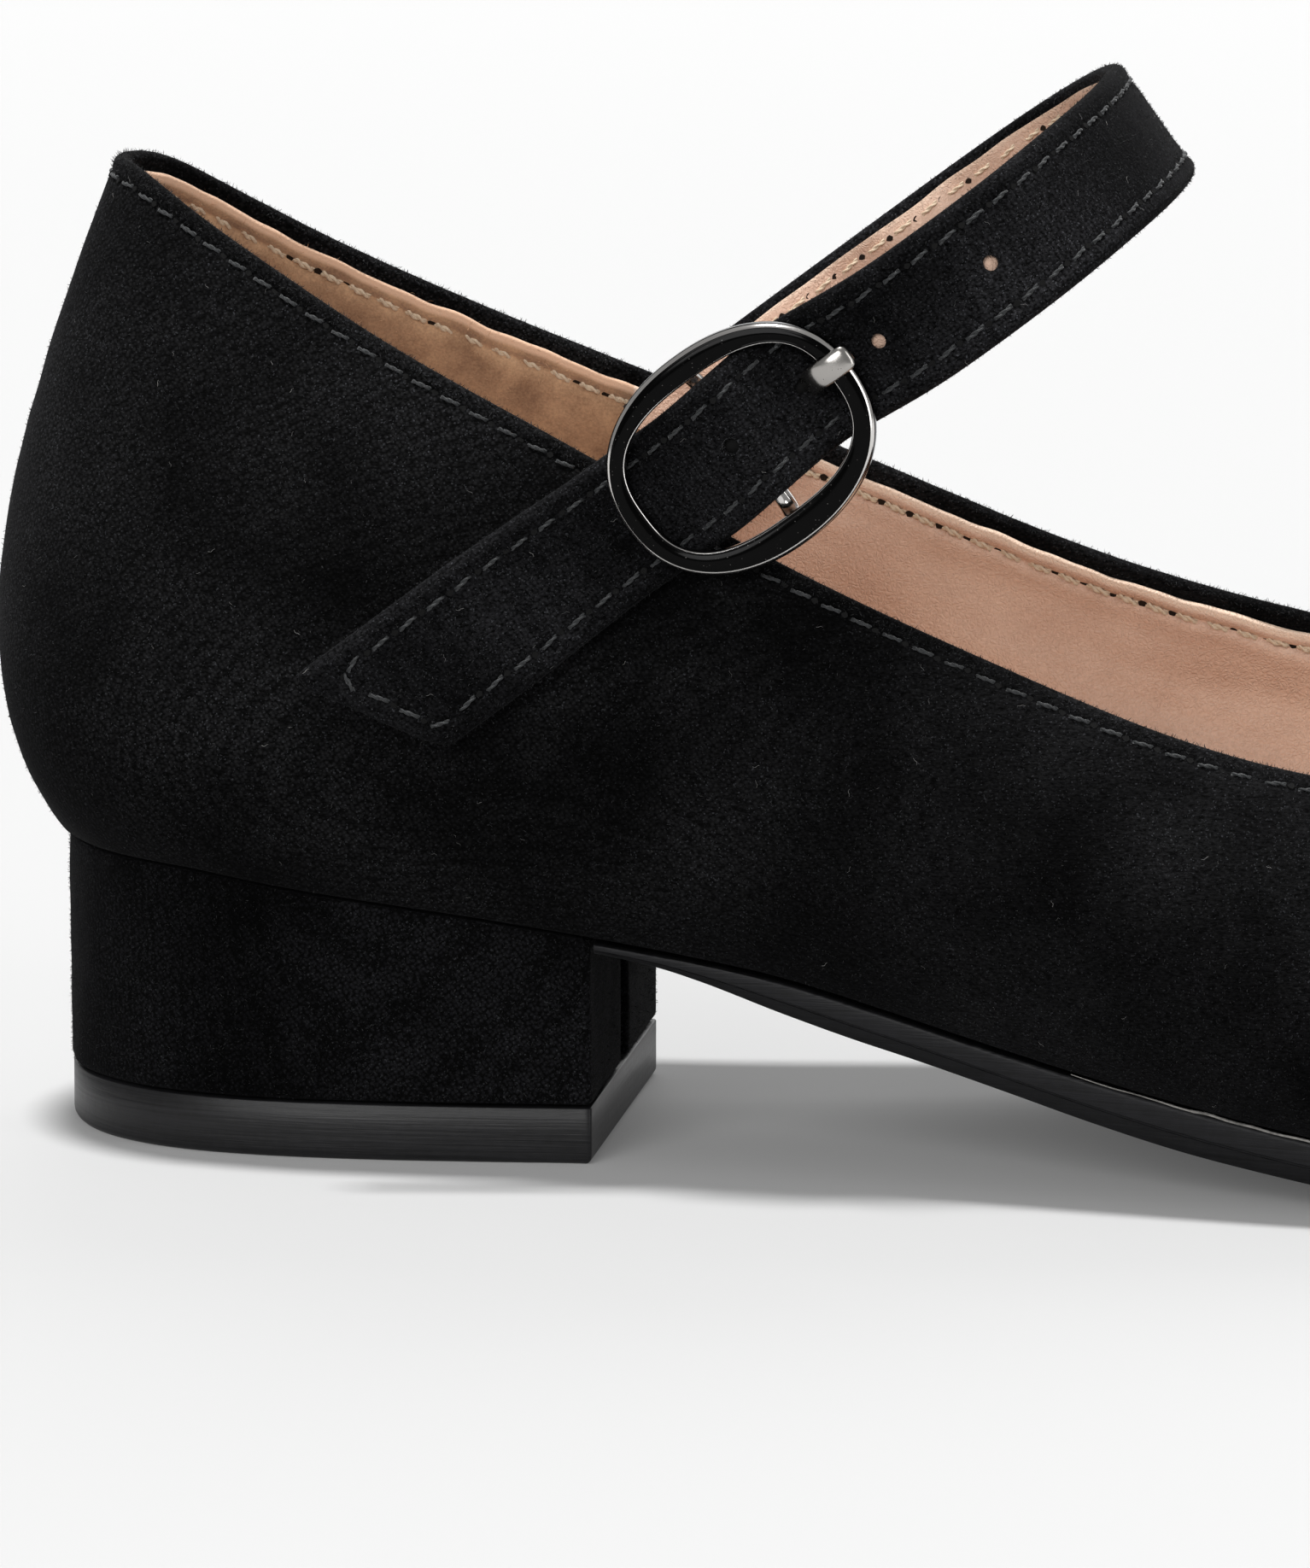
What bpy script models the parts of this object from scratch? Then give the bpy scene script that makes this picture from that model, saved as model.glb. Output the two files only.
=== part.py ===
"""Right-foot Mary Jane shoe with a low block heel, an instep strap and an oval buckle.

The shoe stands on its heel and forefoot. +X points to the toe, +Y to the inner (medial) side and +Z up.
The origin is the middle of the heel's resting face. All sizes are in millimetres and are turned to
metres when a mesh is made. A "station" is a distance from the rearmost point of the upper.
"""

import math
from collections import namedtuple

import bmesh
import bpy
import numpy as np
from mathutils import Vector

COLLECTION_NAME = "block_heel_mary_jane"
MM = 0.001

# ---------------------------------------------------------------- driving dimensions, in millimetres
HEEL_MIDDLE = 37.0          # station of the middle of the heel's resting face
GAP = 0.3                   # clearance kept between neighbouring pieces
UPPER_WALL = 1.8            # suede, padding and lining together
LASTING_MARGIN = 7.0        # how far the upper turns in under the insole
INSOLE_THICK = 2.2
SOLE_PROUD = 0.3            # how far the outsole stands outside the upper's lower edge
SOLE_BAND = 0.42            # share of the outsole's thickness below the step of its side
SOLE_CHAMFER = 0.9
BREAST = 65.8               # station of the heel's front face
HEEL_INSET = 0.35           # heel block inside the upper's lower edge
HEEL_FOOT_SHARE = 0.965     # width of the heel at its foot, as a share of its width above
TOP_LIFT_THICK = 5.9
TOP_LIFT_INSET = 0.25       # top lift inside the heel block
TOP_LIFT_BEVEL = 0.8
SLOT_WIDTH = 4.6            # groove down the middle of the heel's front face
SLOT_DEPTH = 1.4

STRAP_THICK = 2.1
STRAP_SHEAR = 9.0           # slant of the strap's free end
SHEAR_REACH = 16.0          # over this length the slant dies out
STRAP_SIDE = -31.8          # y about which the strap runs on the outer side
STRAP_HOLE_RADIUS = 0.75
PRONG_HOLE = (8.7, 2.65, 2.05)   # place along the strap, half length and half width
STRAP_HOLES = (31.1, 17.7, -1.2)     # places along the strap

BUCKLE_LENGTH = 28.6        # outside, along the strap
BUCKLE_WIDTH = 23.0         # outside, across the strap
BUCKLE_RIM = 2.2
BUCKLE_THICK = 1.9
BUCKLE_POWER = 2.2          # 2 is an ellipse, more is squarer
BUCKLE_SIDE = -33.5         # y of the middle of the rim
BUCKLE_EDGE = 0.75          # below 1 squares the rim's rounded section
BAR_RADIUS = 0.9
BAR_DROP = 2.6              # how far the bar lies inward of the rim
BAR_BOW = 3.2               # how steeply the bar bows in from the rim
PRONG_WIDTH = 2.7
PRONG_THICK = 1.0
TAB_WIDTH = 9.6
TAB_THICK = 1.0
TAB_SLOT = 3.6              # width of the tab's slot, where the prong passes
PUNCH_LENGTH = 9.0          # long enough to pass through the strap

# ------------------------------------------------------------------- the strap's own axes
STRAP_ORIGIN = (82.6, 76.4)     # station and height of the buckle's middle
STRAP_RUN = (0.8, 0.6)          # station and height of a unit step along the strap
STRAP_WIDE = (0.6, -0.8)        # station and height of a unit step across it, downwards

# ------------------------------------------------------------------- lines along the shoe
Level = namedtuple("Level", "station height")

FOOT_LINE = (               # underside of the upper, seen from the side
    Level(-2.0, 30.7), Level(10.0, 30.4), Level(22.0, 29.9), Level(37.0, 27.9), Level(52.0, 25.9),
    Level(66.0, 23.7), Level(84.5, 20.4), Level(95.0, 17.7), Level(107.0, 14.5), Level(117.0, 12.1),
    Level(128.0, 9.8), Level(141.0, 7.5), Level(154.0, 5.7), Level(166.0, 4.8), Level(180.0, 4.7),
    Level(195.0, 5.6), Level(212.0, 7.6), Level(230.0, 10.4), Level(250.0, 14.0),
)
TREAD_LINE = (              # underside of the outsole
    Level(60.0, 23.4), Level(66.0, 22.4), Level(72.7, 21.0), Level(77.3, 19.6), Level(85.4, 16.7),
    Level(93.0, 14.3), Level(99.6, 12.5), Level(109.2, 9.8), Level(118.6, 7.2), Level(128.0, 5.0),
    Level(136.0, 3.6), Level(146.0, 2.1), Level(156.0, 0.8), Level(165.0, 0.0), Level(184.0, 0.0),
    Level(192.0, 0.4), Level(204.0, 1.8), Level(222.0, 4.7), Level(236.0, 7.2), Level(250.0, 9.6),
)

# ------------------------------------------------------------------- the last, spoke by spoke
# A spoke runs up the outside of the upper, from its lower edge ("foot") to the collar ("top").
# low_out and low_up set how it leaves the lower edge, top_out and top_down how it reaches the collar.
Spoke = namedtuple("Spoke", "foot_s foot_y top_s top_y top_z low_out low_up top_out top_down")

BACK = Spoke(7.2, 0.0, 13.0, 0.0, 100.2, 12.4, 15.6, 13.0, 34.0)
LATERAL = (
    Spoke(11.2, 14.6, 16.0, 6.4, 99.6, 12.3, 14.0, 12.5, 32.0),
    Spoke(19.5, 22.3, 22.0, 11.4, 96.8, 11.3, 11.0, 11.5, 29.0),
    Spoke(30.0, 25.6, 31.0, 15.6, 91.7, 10.0, 9.5, 10.5, 27.0),
    Spoke(46.0, 26.3, 45.0, 21.0, 84.2, 9.0, 9.5, 9.0, 24.0),
    Spoke(66.0, 25.0, 63.0, 25.4, 75.6, 9.0, 9.0, 7.0, 19.0),
    Spoke(88.0, 25.2, 86.0, 29.4, 64.0, 10.0, 8.0, 6.0, 14.0),
    Spoke(112.0, 29.0, 110.0, 32.6, 54.0, 10.5, 8.0, 6.5, 12.0),
    Spoke(138.0, 35.4, 133.0, 33.6, 46.1, 11.0, 8.0, 8.0, 11.0),
    Spoke(163.0, 39.4, 154.0, 28.6, 42.6, 10.5, 8.5, 13.0, 8.0),
    Spoke(188.0, 37.2, 168.0, 18.0, 42.0, 9.0, 11.0, 21.0, 8.0),
    Spoke(211.0, 30.2, 175.2, 7.6, 42.2, 7.0, 13.5, 29.0, 9.0),
    Spoke(229.5, 19.6, 177.6, -0.6, 42.4, 5.5, 16.0, 34.0, 10.5),
    Spoke(241.8, 6.0, 178.1, -2.6, 42.6, 4.8, 17.0, 36.0, 11.0),
)
TOE = Spoke(245.6, 6.5, 178.2, 5.8, 42.7, 4.5, 17.2, 36.5, 11.0)
MEDIAL = (
    Spoke(11.2, 14.6, 16.0, 6.4, 99.4, 12.3, 14.0, 12.5, 32.0),
    Spoke(19.5, 22.3, 22.0, 11.4, 95.8, 11.3, 11.0, 11.5, 29.0),
    Spoke(30.0, 25.6, 31.0, 15.6, 90.5, 10.0, 9.5, 10.5, 27.0),
    Spoke(46.0, 26.1, 45.0, 21.0, 83.4, 9.0, 9.5, 9.0, 24.0),
    Spoke(66.0, 24.4, 63.0, 25.4, 75.9, 9.0, 9.0, 7.0, 19.0),
    Spoke(88.0, 23.4, 86.0, 29.2, 66.6, 10.5, 9.0, 6.0, 14.0),
    Spoke(113.0, 26.2, 110.0, 32.2, 56.7, 10.5, 8.5, 6.5, 13.0),
    Spoke(139.0, 32.4, 133.0, 34.2, 50.0, 10.0, 8.5, 8.0, 12.0),
    Spoke(164.0, 36.8, 154.0, 31.2, 46.2, 9.5, 9.0, 12.0, 10.0),
    Spoke(189.0, 36.6, 167.5, 24.6, 43.8, 8.5, 11.0, 19.0, 9.0),
    Spoke(214.0, 32.6, 174.8, 17.0, 43.2, 7.0, 13.5, 27.0, 9.5),
    Spoke(233.5, 25.0, 177.2, 12.0, 43.0, 5.5, 16.0, 33.0, 10.5),
    Spoke(242.9, 16.6, 178.0, 8.8, 42.8, 4.8, 17.0, 36.0, 11.0),
)
SPOKES_AROUND = 92
ROWS_UP = 12

# The strap's middle line: distance along the strap from the buckle's middle, side (y) and rise
Bend = namedtuple("Bend", "along side rise")
STRAP_PATH = (              # from the free end, over the instep, to the inner side of the collar
    Bend(-47.2, -35.6, -0.5), Bend(-38.0, -34.3, -0.5), Bend(-28.0, -32.7, -0.5), Bend(-20.0, -31.7, -0.5),
    Bend(-12.6, -31.0, -0.5), Bend(-9.4, -31.1, -0.5), Bend(-4.6, -33.4, -0.4), Bend(0.0, -34.5, -0.4),
    Bend(4.6, -33.4, -0.4), Bend(9.4, -31.1, -0.4), Bend(12.6, -30.8, -0.3), Bend(19.0, -31.3, -0.3),
    Bend(27.0, -31.3, -0.3), Bend(35.0, -28.2, -0.3),
    Bend(41.5, -20.6, -0.4), Bend(45.8, -10.8, -0.5), Bend(47.2, 0.0, -0.7), Bend(45.8, 10.4, -0.9),
    Bend(41.5, 19.4, -1.1), Bend(34.5, 25.4, -1.3), Bend(26.0, 27.6, -1.4), Bend(14.0, 27.6, -1.4),
    Bend(2.0, 26.3, -1.4), Bend(-6.0, 24.6, -1.4), Bend(-12.0, 23.2, -1.4), Bend(-19.0, 22.2, -1.4),
)
STRAP_WIDTH = 13.6
PRONG_PATH_END = (          # from the hinge, under the strap, up through its hole and over the rim
    Bend(3.2, -30.0, 0.0), Bend(6.2, -29.9, 0.0), Bend(8.0, -30.5, 0.0), Bend(9.2, -32.0, 0.0),
    Bend(10.1, -33.8, 0.0), Bend(11.4, -35.15, 0.0), Bend(13.2, -35.55, 0.0), Bend(15.2, -35.1, 0.0),
)
TAB_PATH_START = (          # from inside the collar up to the buckle's bar
    Bend(-17.0, -24.0, 0.0), Bend(-12.5, -23.7, 0.0), Bend(-8.6, -24.2, 0.0), Bend(-5.0, -26.9, 0.0),
)

Finish = namedtuple("Finish", "name colour roughness metallic")
BLACK_SUEDE = Finish("black_suede", (0.010, 0.010, 0.011), 0.95, 0.0)
TAN_SOCK = Finish("tan_sock", (0.62, 0.40, 0.26), 0.70, 0.0)
BLACK_RUBBER = Finish("black_sole_rubber", (0.020, 0.020, 0.022), 0.55, 0.0)
HEEL_PLASTIC = Finish("dark_heel_plastic", (0.035, 0.035, 0.038), 0.50, 0.0)
DARK_NICKEL = Finish("dark_nickel", (0.16, 0.155, 0.15), 0.16, 1.0)
BLACK_ELASTIC = Finish("black_elastic", (0.012, 0.012, 0.012), 0.85, 0.0)


# ------------------------------------------------------------------------------ curves and lines
def cubic_through(knots, rows, wanted, closed=False):
    """Smooth cubic curve through rows of numbers, read at the wanted knot values.

    A closed curve has one knot more than it has rows: the last is where it comes round again.
    """
    knots = np.asarray(knots, float)
    rows = np.asarray(rows, float)
    count = len(rows)
    if closed:
        rows = np.vstack([rows, rows[0]])
    steps = np.diff(knots)
    slopes = np.diff(rows, axis=0) / steps[:, None]
    unknowns = count
    system = np.zeros((unknowns, unknowns))
    right = np.zeros((unknowns, rows.shape[1]))
    for i in range(unknowns):
        if not closed and i in (0, count - 1):
            system[i, i] = 1.0
            continue
        before, after = steps[i - 1], steps[i]
        system[i, (i - 1) % count] += before
        system[i, i] += 2.0 * (before + after)
        system[i, (i + 1) % count] += after
        right[i] = 6.0 * (slopes[i] - slopes[i - 1])
    bends = np.linalg.solve(system, right)
    if closed:
        bends = np.vstack([bends, bends[0]])
    wanted = np.asarray(wanted, float)
    part = np.clip(np.searchsorted(knots, wanted, side="right") - 1, 0, len(steps) - 1)
    step = steps[part][:, None]
    left = (knots[part + 1] - wanted)[:, None] / step
    ahead = 1.0 - left
    return (left * rows[part] + ahead * rows[part + 1]
            + ((left ** 3 - left) * bends[part] + (ahead ** 3 - ahead) * bends[part + 1]) * step ** 2 / 6.0)


def level_line(table):
    """Height along the shoe that passes through a table's levels and never overshoots between them."""
    stations = np.array([level.station for level in table])
    heights = np.array([level.height for level in table])
    steps = np.diff(stations)
    slopes = np.diff(heights) / steps
    tangents = np.zeros(len(table))
    tangents[0], tangents[-1] = slopes[0], slopes[-1]
    for i in range(1, len(table) - 1):
        if slopes[i - 1] * slopes[i] > 0.0:
            tangents[i] = 2.0 * slopes[i - 1] * slopes[i] / (slopes[i - 1] + slopes[i])

    def height(station):
        i = int(np.clip(np.searchsorted(stations, station) - 1, 0, len(steps) - 1))
        t = (station - stations[i]) / steps[i]
        rise = steps[i]
        return ((1 + 2 * t) * (1 - t) ** 2 * heights[i] + t * (1 - t) ** 2 * rise * tangents[i]
                + t * t * (3 - 2 * t) * heights[i + 1] + t * t * (t - 1) * rise * tangents[i + 1])

    return height


foot_height = level_line(FOOT_LINE)
tread_height = level_line(TREAD_LINE)


def outward(loop):
    """Unit normals, in plan, of a closed loop that runs anticlockwise seen from above."""
    tangent = np.roll(loop, -1, axis=0)[:, :2] - np.roll(loop, 1, axis=0)[:, :2]
    tangent /= np.linalg.norm(tangent, axis=1)[:, None]
    return np.stack([tangent[:, 1], -tangent[:, 0]], axis=1)


# ------------------------------------------------------------------------------ the last's surface
def spoke_table(count):
    """The spokes' values at `count` even places round the shoe, from the back by the outer side."""
    outer = [spoke._replace(foot_y=-spoke.foot_y, top_y=-spoke.top_y) for spoke in LATERAL]
    rows = np.array([BACK, *outer, TOE, *reversed(MEDIAL)], float)
    ahead = np.roll(rows, -1, axis=0)
    foot_step = np.linalg.norm(ahead[:, 0:2] - rows[:, 0:2], axis=1)
    top_step = np.linalg.norm(ahead[:, 2:5] - rows[:, 2:5], axis=1)
    knots = np.concatenate([[0.0], np.cumsum(foot_step + top_step)])
    wanted = np.linspace(0.0, knots[-1], count, endpoint=False)
    return cubic_through(knots, rows, wanted, closed=True)


def spoke_curves(table):
    """The four control points of each spoke's outer curve, as arrays of x, y and z."""
    foot = np.column_stack([table[:, 0], table[:, 1], [foot_height(s) for s in table[:, 0]]])
    top = table[:, 2:5]
    foot_out, top_out = outward(foot), outward(top)
    low = foot.copy()
    low[:, :2] += foot_out * table[:, 5:6]
    low[:, 2] += table[:, 6]
    high = top.copy()
    high[:, :2] += top_out * table[:, 7:8]
    high[:, 2] -= table[:, 8]
    return foot, low, high, top


def along_spokes(curves, share):
    """Points of every spoke at one share of the way up, from 0 at the lower edge to 1 at the collar."""
    foot, low, high, top = curves
    rest = 1.0 - share
    return (rest ** 3 * foot + 3 * rest ** 2 * share * low + 3 * rest * share ** 2 * high
            + share ** 3 * top)


def foot_outline(inset, count=720):
    """The upper's lower edge moved inwards: its end stations and its two sides as functions."""
    foot = spoke_curves(spoke_table(count))[0]
    loop = foot[:, :2] - outward(foot) * inset
    back, toe = int(np.argmin(loop[:, 0])), int(np.argmax(loop[:, 0]))
    loop = np.roll(loop, -back, axis=0)
    toe = (toe - back) % count
    outer, inner = loop[:toe + 1], np.vstack([loop[toe:], loop[:1]])[::-1]

    def outer_side(station):
        return float(np.interp(station, outer[:, 0], outer[:, 1]))

    def inner_side(station):
        return float(np.interp(station, inner[:, 0], inner[:, 1]))

    return loop[0, 0], loop[toe, 0], outer_side, inner_side


# ------------------------------------------------------------------------------ making objects
def clear_scene():
    """Remove what a new file holds."""
    for old in list(bpy.data.objects):
        bpy.data.objects.remove(old, do_unlink=True)


def new_collection(name):
    """A collection of the scene."""
    collection = bpy.data.collections.new(name)
    bpy.context.scene.collection.children.link(collection)
    return collection


def material_for(finish):
    """A Principled material for one finish."""
    material = bpy.data.materials.get(finish.name) or bpy.data.materials.new(finish.name)
    material.use_nodes = True
    shader = material.node_tree.nodes["Principled BSDF"]
    shader.inputs["Base Color"].default_value = (*finish.colour, 1.0)
    shader.inputs["Roughness"].default_value = finish.roughness
    shader.inputs["Metallic"].default_value = finish.metallic
    return material


def to_metres(point):
    """A point given by station, side and height, as a place in metres."""
    return Vector(((point[0] - HEEL_MIDDLE) * MM, point[1] * MM, point[2] * MM))


def object_from(name, points, faces, collection, finish=None):
    """An object whose mesh has the given points, in station, side and height, and faces."""
    shape = bmesh.new()
    corners = [shape.verts.new(to_metres(point)) for point in points]
    for face in faces:
        shape.faces.new([corners[i] for i in face])
    bmesh.ops.remove_doubles(shape, verts=shape.verts, dist=0.00001)
    mesh = bpy.data.meshes.new(name)
    shape.to_mesh(mesh)
    shape.free()
    made = bpy.data.objects.new(name, mesh)
    collection.objects.link(made)
    if finish is None:
        made.hide_render = True
        made.display_type = "WIRE"
    else:
        mesh.materials.append(material_for(finish))
        mesh.shade_smooth()
        mesh.set_sharp_from_angle(angle=math.radians(35.0))
    return made


def as_cutter(name, cutters):
    """Name the object just added, hide it and move it to the cutters' collection."""
    tool = bpy.context.object
    tool.name = name
    tool.hide_render = True
    tool.display_type = "WIRE"
    for owner in list(tool.users_collection):
        owner.objects.unlink(tool)
    cutters.objects.link(tool)
    return tool


def combine(target, operation, other):
    """Add an exact Boolean of one object with another."""
    modifier = target.modifiers.new(operation.lower(), "BOOLEAN")
    modifier.operation = operation
    modifier.solver = "EXACT"
    modifier.object = other


def thicken(target, thickness, offset):
    """Give an open surface a thickness in millimetres."""
    wall = target.modifiers.new("wall", "SOLIDIFY")
    wall.thickness = thickness * MM
    wall.offset = offset
    wall.use_even_offset = True


def ladder_solid(name, outlines, heights, count, square_back, collection, finish):
    """A solid whose top and bottom are ruled straight across the shoe.

    outlines has one foot outline per level, from the lowest up, and heights its height function.
    With square_back the back is cut straight across at that station; otherwise both ends are round.
    """
    points, faces = [], []
    ring = 2 * count
    for (back, toe, outer_side, inner_side), height in zip(outlines, heights):
        first = back if square_back is None else square_back
        spread = 0.5 - 0.5 * np.cos(np.linspace(0.0, math.pi, count))
        if square_back is not None:
            spread = np.sin(np.linspace(0.0, math.pi / 2.0, count))
        stations = first + (toe - first) * spread
        points += [(s, outer_side(s), height(s)) for s in stations]
        points += [(s, inner_side(s), height(s)) for s in reversed(stations)]
    for level in range(len(outlines) - 1):
        low, high = level * ring, (level + 1) * ring
        for i in range(ring):
            j = (i + 1) % ring
            if square_back is None and i in (count - 1, ring - 1):
                continue
            faces.append((low + i, low + j, high + j, high + i))
    top = (len(outlines) - 1) * ring
    for i in range(count - 1):
        near, far = (i, i + 1), (ring - 1 - i, ring - 2 - i)
        faces.append((near[0], far[0], far[1], near[1]))
        faces.append((top + near[0], top + near[1], top + far[1], top + far[0]))
    return object_from(name, points, faces, collection, finish)


def strap_place(along, side, across):
    """Station, side and height of a point given in the strap's own axes."""
    return (STRAP_ORIGIN[0] + along * STRAP_RUN[0] + across * STRAP_WIDE[0], side,
            STRAP_ORIGIN[1] + along * STRAP_RUN[1] + across * STRAP_WIDE[1])


def band(name, bends, width, thickness, count, shear, columns, collection, finish):
    """A flat band swept along bends, with its width across the strap and its first end slanted.

    The slanted end dies out over SHEAR_REACH, and its upper corner reaches back past the path's start.
    """
    bends = np.array(bends, float)
    lengths = np.concatenate([[0.0], np.cumsum(np.linalg.norm(np.diff(bends[:, :2], axis=0), axis=1))])
    lead = bends[0] - (bends[1] - bends[0]) / lengths[1]
    points, faces = [], []
    for column in range(columns):
        place = column / (columns - 1) - 0.5
        wanted = np.linspace(0.0, lengths[-1], count)
        wanted += shear * place * np.clip(1.0 - wanted / SHEAR_REACH, 0.0, 1.0)
        read = cubic_through(lengths, bends, np.maximum(wanted, 0.0))
        for length, (along, side, rise) in zip(wanted, read):
            if length < 0.0:
                along, side, rise = bends[0] + (lead - bends[0]) * -length
            points.append(strap_place(along, side, rise + width * place))
    for column in range(columns - 1):
        for i in range(count - 1):
            a = column * count + i
            faces.append((a, a + 1, a + count + 1, a + count))
    made = object_from(name, points, faces, collection, finish)
    thicken(made, thickness, 0.0)
    return made


# ------------------------------------------------------------------------------ the pieces
def make_upper(parts):
    """Hollow upper: collar open above, lasting margin turned in below."""
    curves = spoke_curves(spoke_table(SPOKES_AROUND))
    foot = curves[0]
    margin = foot.copy()
    margin[:, :2] -= outward(foot) * LASTING_MARGIN
    margin[:, 2] = [foot_height(s) for s in margin[:, 0]]
    rows = [margin] + [along_spokes(curves, j / ROWS_UP) for j in range(ROWS_UP + 1)]
    points = [tuple(point) for row in rows for point in row]
    faces = []
    for j in range(len(rows) - 1):
        for i in range(SPOKES_AROUND):
            k = (i + 1) % SPOKES_AROUND
            low, high = j * SPOKES_AROUND, (j + 1) * SPOKES_AROUND
            faces.append((low + i, low + k, high + k, high + i))
    upper = object_from("upper", points, faces, parts, BLACK_SUEDE)
    thicken(upper, UPPER_WALL, -1.0)


def make_insole(parts):
    """Insole board with its sock, lying on the lasting margin."""
    seat = UPPER_WALL + GAP

    def underside(station):
        return foot_height(station) + seat

    def footbed(station):
        return foot_height(station) + seat + INSOLE_THICK

    outlines = [foot_outline(UPPER_WALL + 0.7), foot_outline(UPPER_WALL + 0.4)]
    ladder_solid("insole", outlines, [underside, footbed], 40, None, parts, TAN_SOCK)


def make_outsole(parts):
    """Outsole from the heel's front face to the toe, with a stepped side and a flat tread."""
    def step(station):
        low, high = tread_height(station), foot_height(station) - GAP
        return low + SOLE_BAND * (high - low)

    def seat(station):
        return foot_height(station) - GAP

    outlines = [foot_outline(SOLE_CHAMFER - SOLE_PROUD), foot_outline(-SOLE_PROUD), foot_outline(-SOLE_PROUD)]
    ladder_solid("outsole", outlines, [tread_height, step, seat], 44, BREAST + 0.5, parts, BLACK_RUBBER)


def heel_stack(name, levels, parts, finish):
    """A D-shaped solid under the upper's lower edge, cut off flat at the heel's front face.

    Each level has an inset from that edge, a share of its width and a height function.
    """
    points, faces = [], []
    half = 16
    ring = 2 * half
    for inset, width_share, height in levels:
        back, _, outer_side, inner_side = foot_outline(inset)
        spread = 1.0 - np.cos(np.linspace(0.0, math.pi / 2.0, half))
        stations = back + (BREAST - back) * spread
        points += [(s, outer_side(s) * width_share, height(s)) for s in stations]
        points += [(s, inner_side(s) * width_share, height(s)) for s in reversed(stations)]
    for level in range(len(levels) - 1):
        low, high = level * ring, (level + 1) * ring
        for i in range(ring - 1):
            faces.append((low + i, low + i + 1, high + i + 1, high + i))
    top = (len(levels) - 1) * ring
    for i in range(half - 1):
        faces.append((i, ring - 1 - i, ring - 2 - i, i + 1))
        faces.append((top + i, top + i + 1, top + ring - 2 - i, top + ring - 1 - i))
    return object_from(name, points, faces, parts, finish)


def make_heel(parts, cutters):
    """Covered heel block, grooved down its front face, and the top lift below it."""
    block_foot = TOP_LIFT_THICK + GAP

    def seat(station):
        return foot_height(station) - GAP

    block = heel_stack("heel_block", [(HEEL_INSET, HEEL_FOOT_SHARE, lambda s: block_foot),
                                      (HEEL_INSET, 1.0, seat)], parts, BLACK_SUEDE)
    bpy.ops.mesh.primitive_cube_add(size=MM)
    slot = as_cutter("breast_slot_cutter", cutters)
    slot.scale = (2 * SLOT_DEPTH, SLOT_WIDTH, 80.0)
    slot.location = to_metres((BREAST, 0.0, 20.0))
    combine(block, "DIFFERENCE", slot)

    lift = HEEL_INSET + TOP_LIFT_INSET
    heel_stack("top_lift", [(lift + TOP_LIFT_BEVEL, HEEL_FOOT_SHARE, lambda s: 0.0),
                            (lift, HEEL_FOOT_SHARE, lambda s: TOP_LIFT_BEVEL),
                            (lift, HEEL_FOOT_SHARE, lambda s: TOP_LIFT_THICK)], parts, HEEL_PLASTIC)


def strap_punch(along, side, half_length, half_width, cutters):
    """A punch through the strap, square to it."""
    bpy.ops.mesh.primitive_cylinder_add(vertices=12, radius=MM, depth=PUNCH_LENGTH * MM)
    punch = as_cutter("strap_punch", cutters)
    punch.scale = (half_length, half_width, 1.0)
    punch.rotation_euler = (math.radians(90.0), -math.atan2(STRAP_RUN[1], STRAP_RUN[0]), 0.0)
    punch.location = to_metres(strap_place(along, side, -0.4))
    return punch


def make_strap(parts, cutters):
    """Instep strap: free slanted end at the outer side, sewn end inside the inner side of the collar."""
    strap = band("strap", STRAP_PATH, STRAP_WIDTH, STRAP_THICK, 84, STRAP_SHEAR, 5, parts, BLACK_SUEDE)
    for along in STRAP_HOLES:
        punch = strap_punch(along, STRAP_SIDE, STRAP_HOLE_RADIUS, STRAP_HOLE_RADIUS, cutters)
        combine(strap, "DIFFERENCE", punch)
    place, half_length, half_width = PRONG_HOLE
    combine(strap, "DIFFERENCE", strap_punch(place, STRAP_SIDE, half_length, half_width, cutters))


def oval_point(angle, inset):
    """A point of the buckle's outline, along and across the strap."""
    half_length = BUCKLE_LENGTH / 2.0 - inset
    half_width = BUCKLE_WIDTH / 2.0 - inset
    c, s = math.cos(angle), math.sin(angle)
    power = 2.0 / BUCKLE_POWER
    return (half_length * math.copysign(abs(c) ** power, c), half_width * math.copysign(abs(s) ** power, s))


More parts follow.
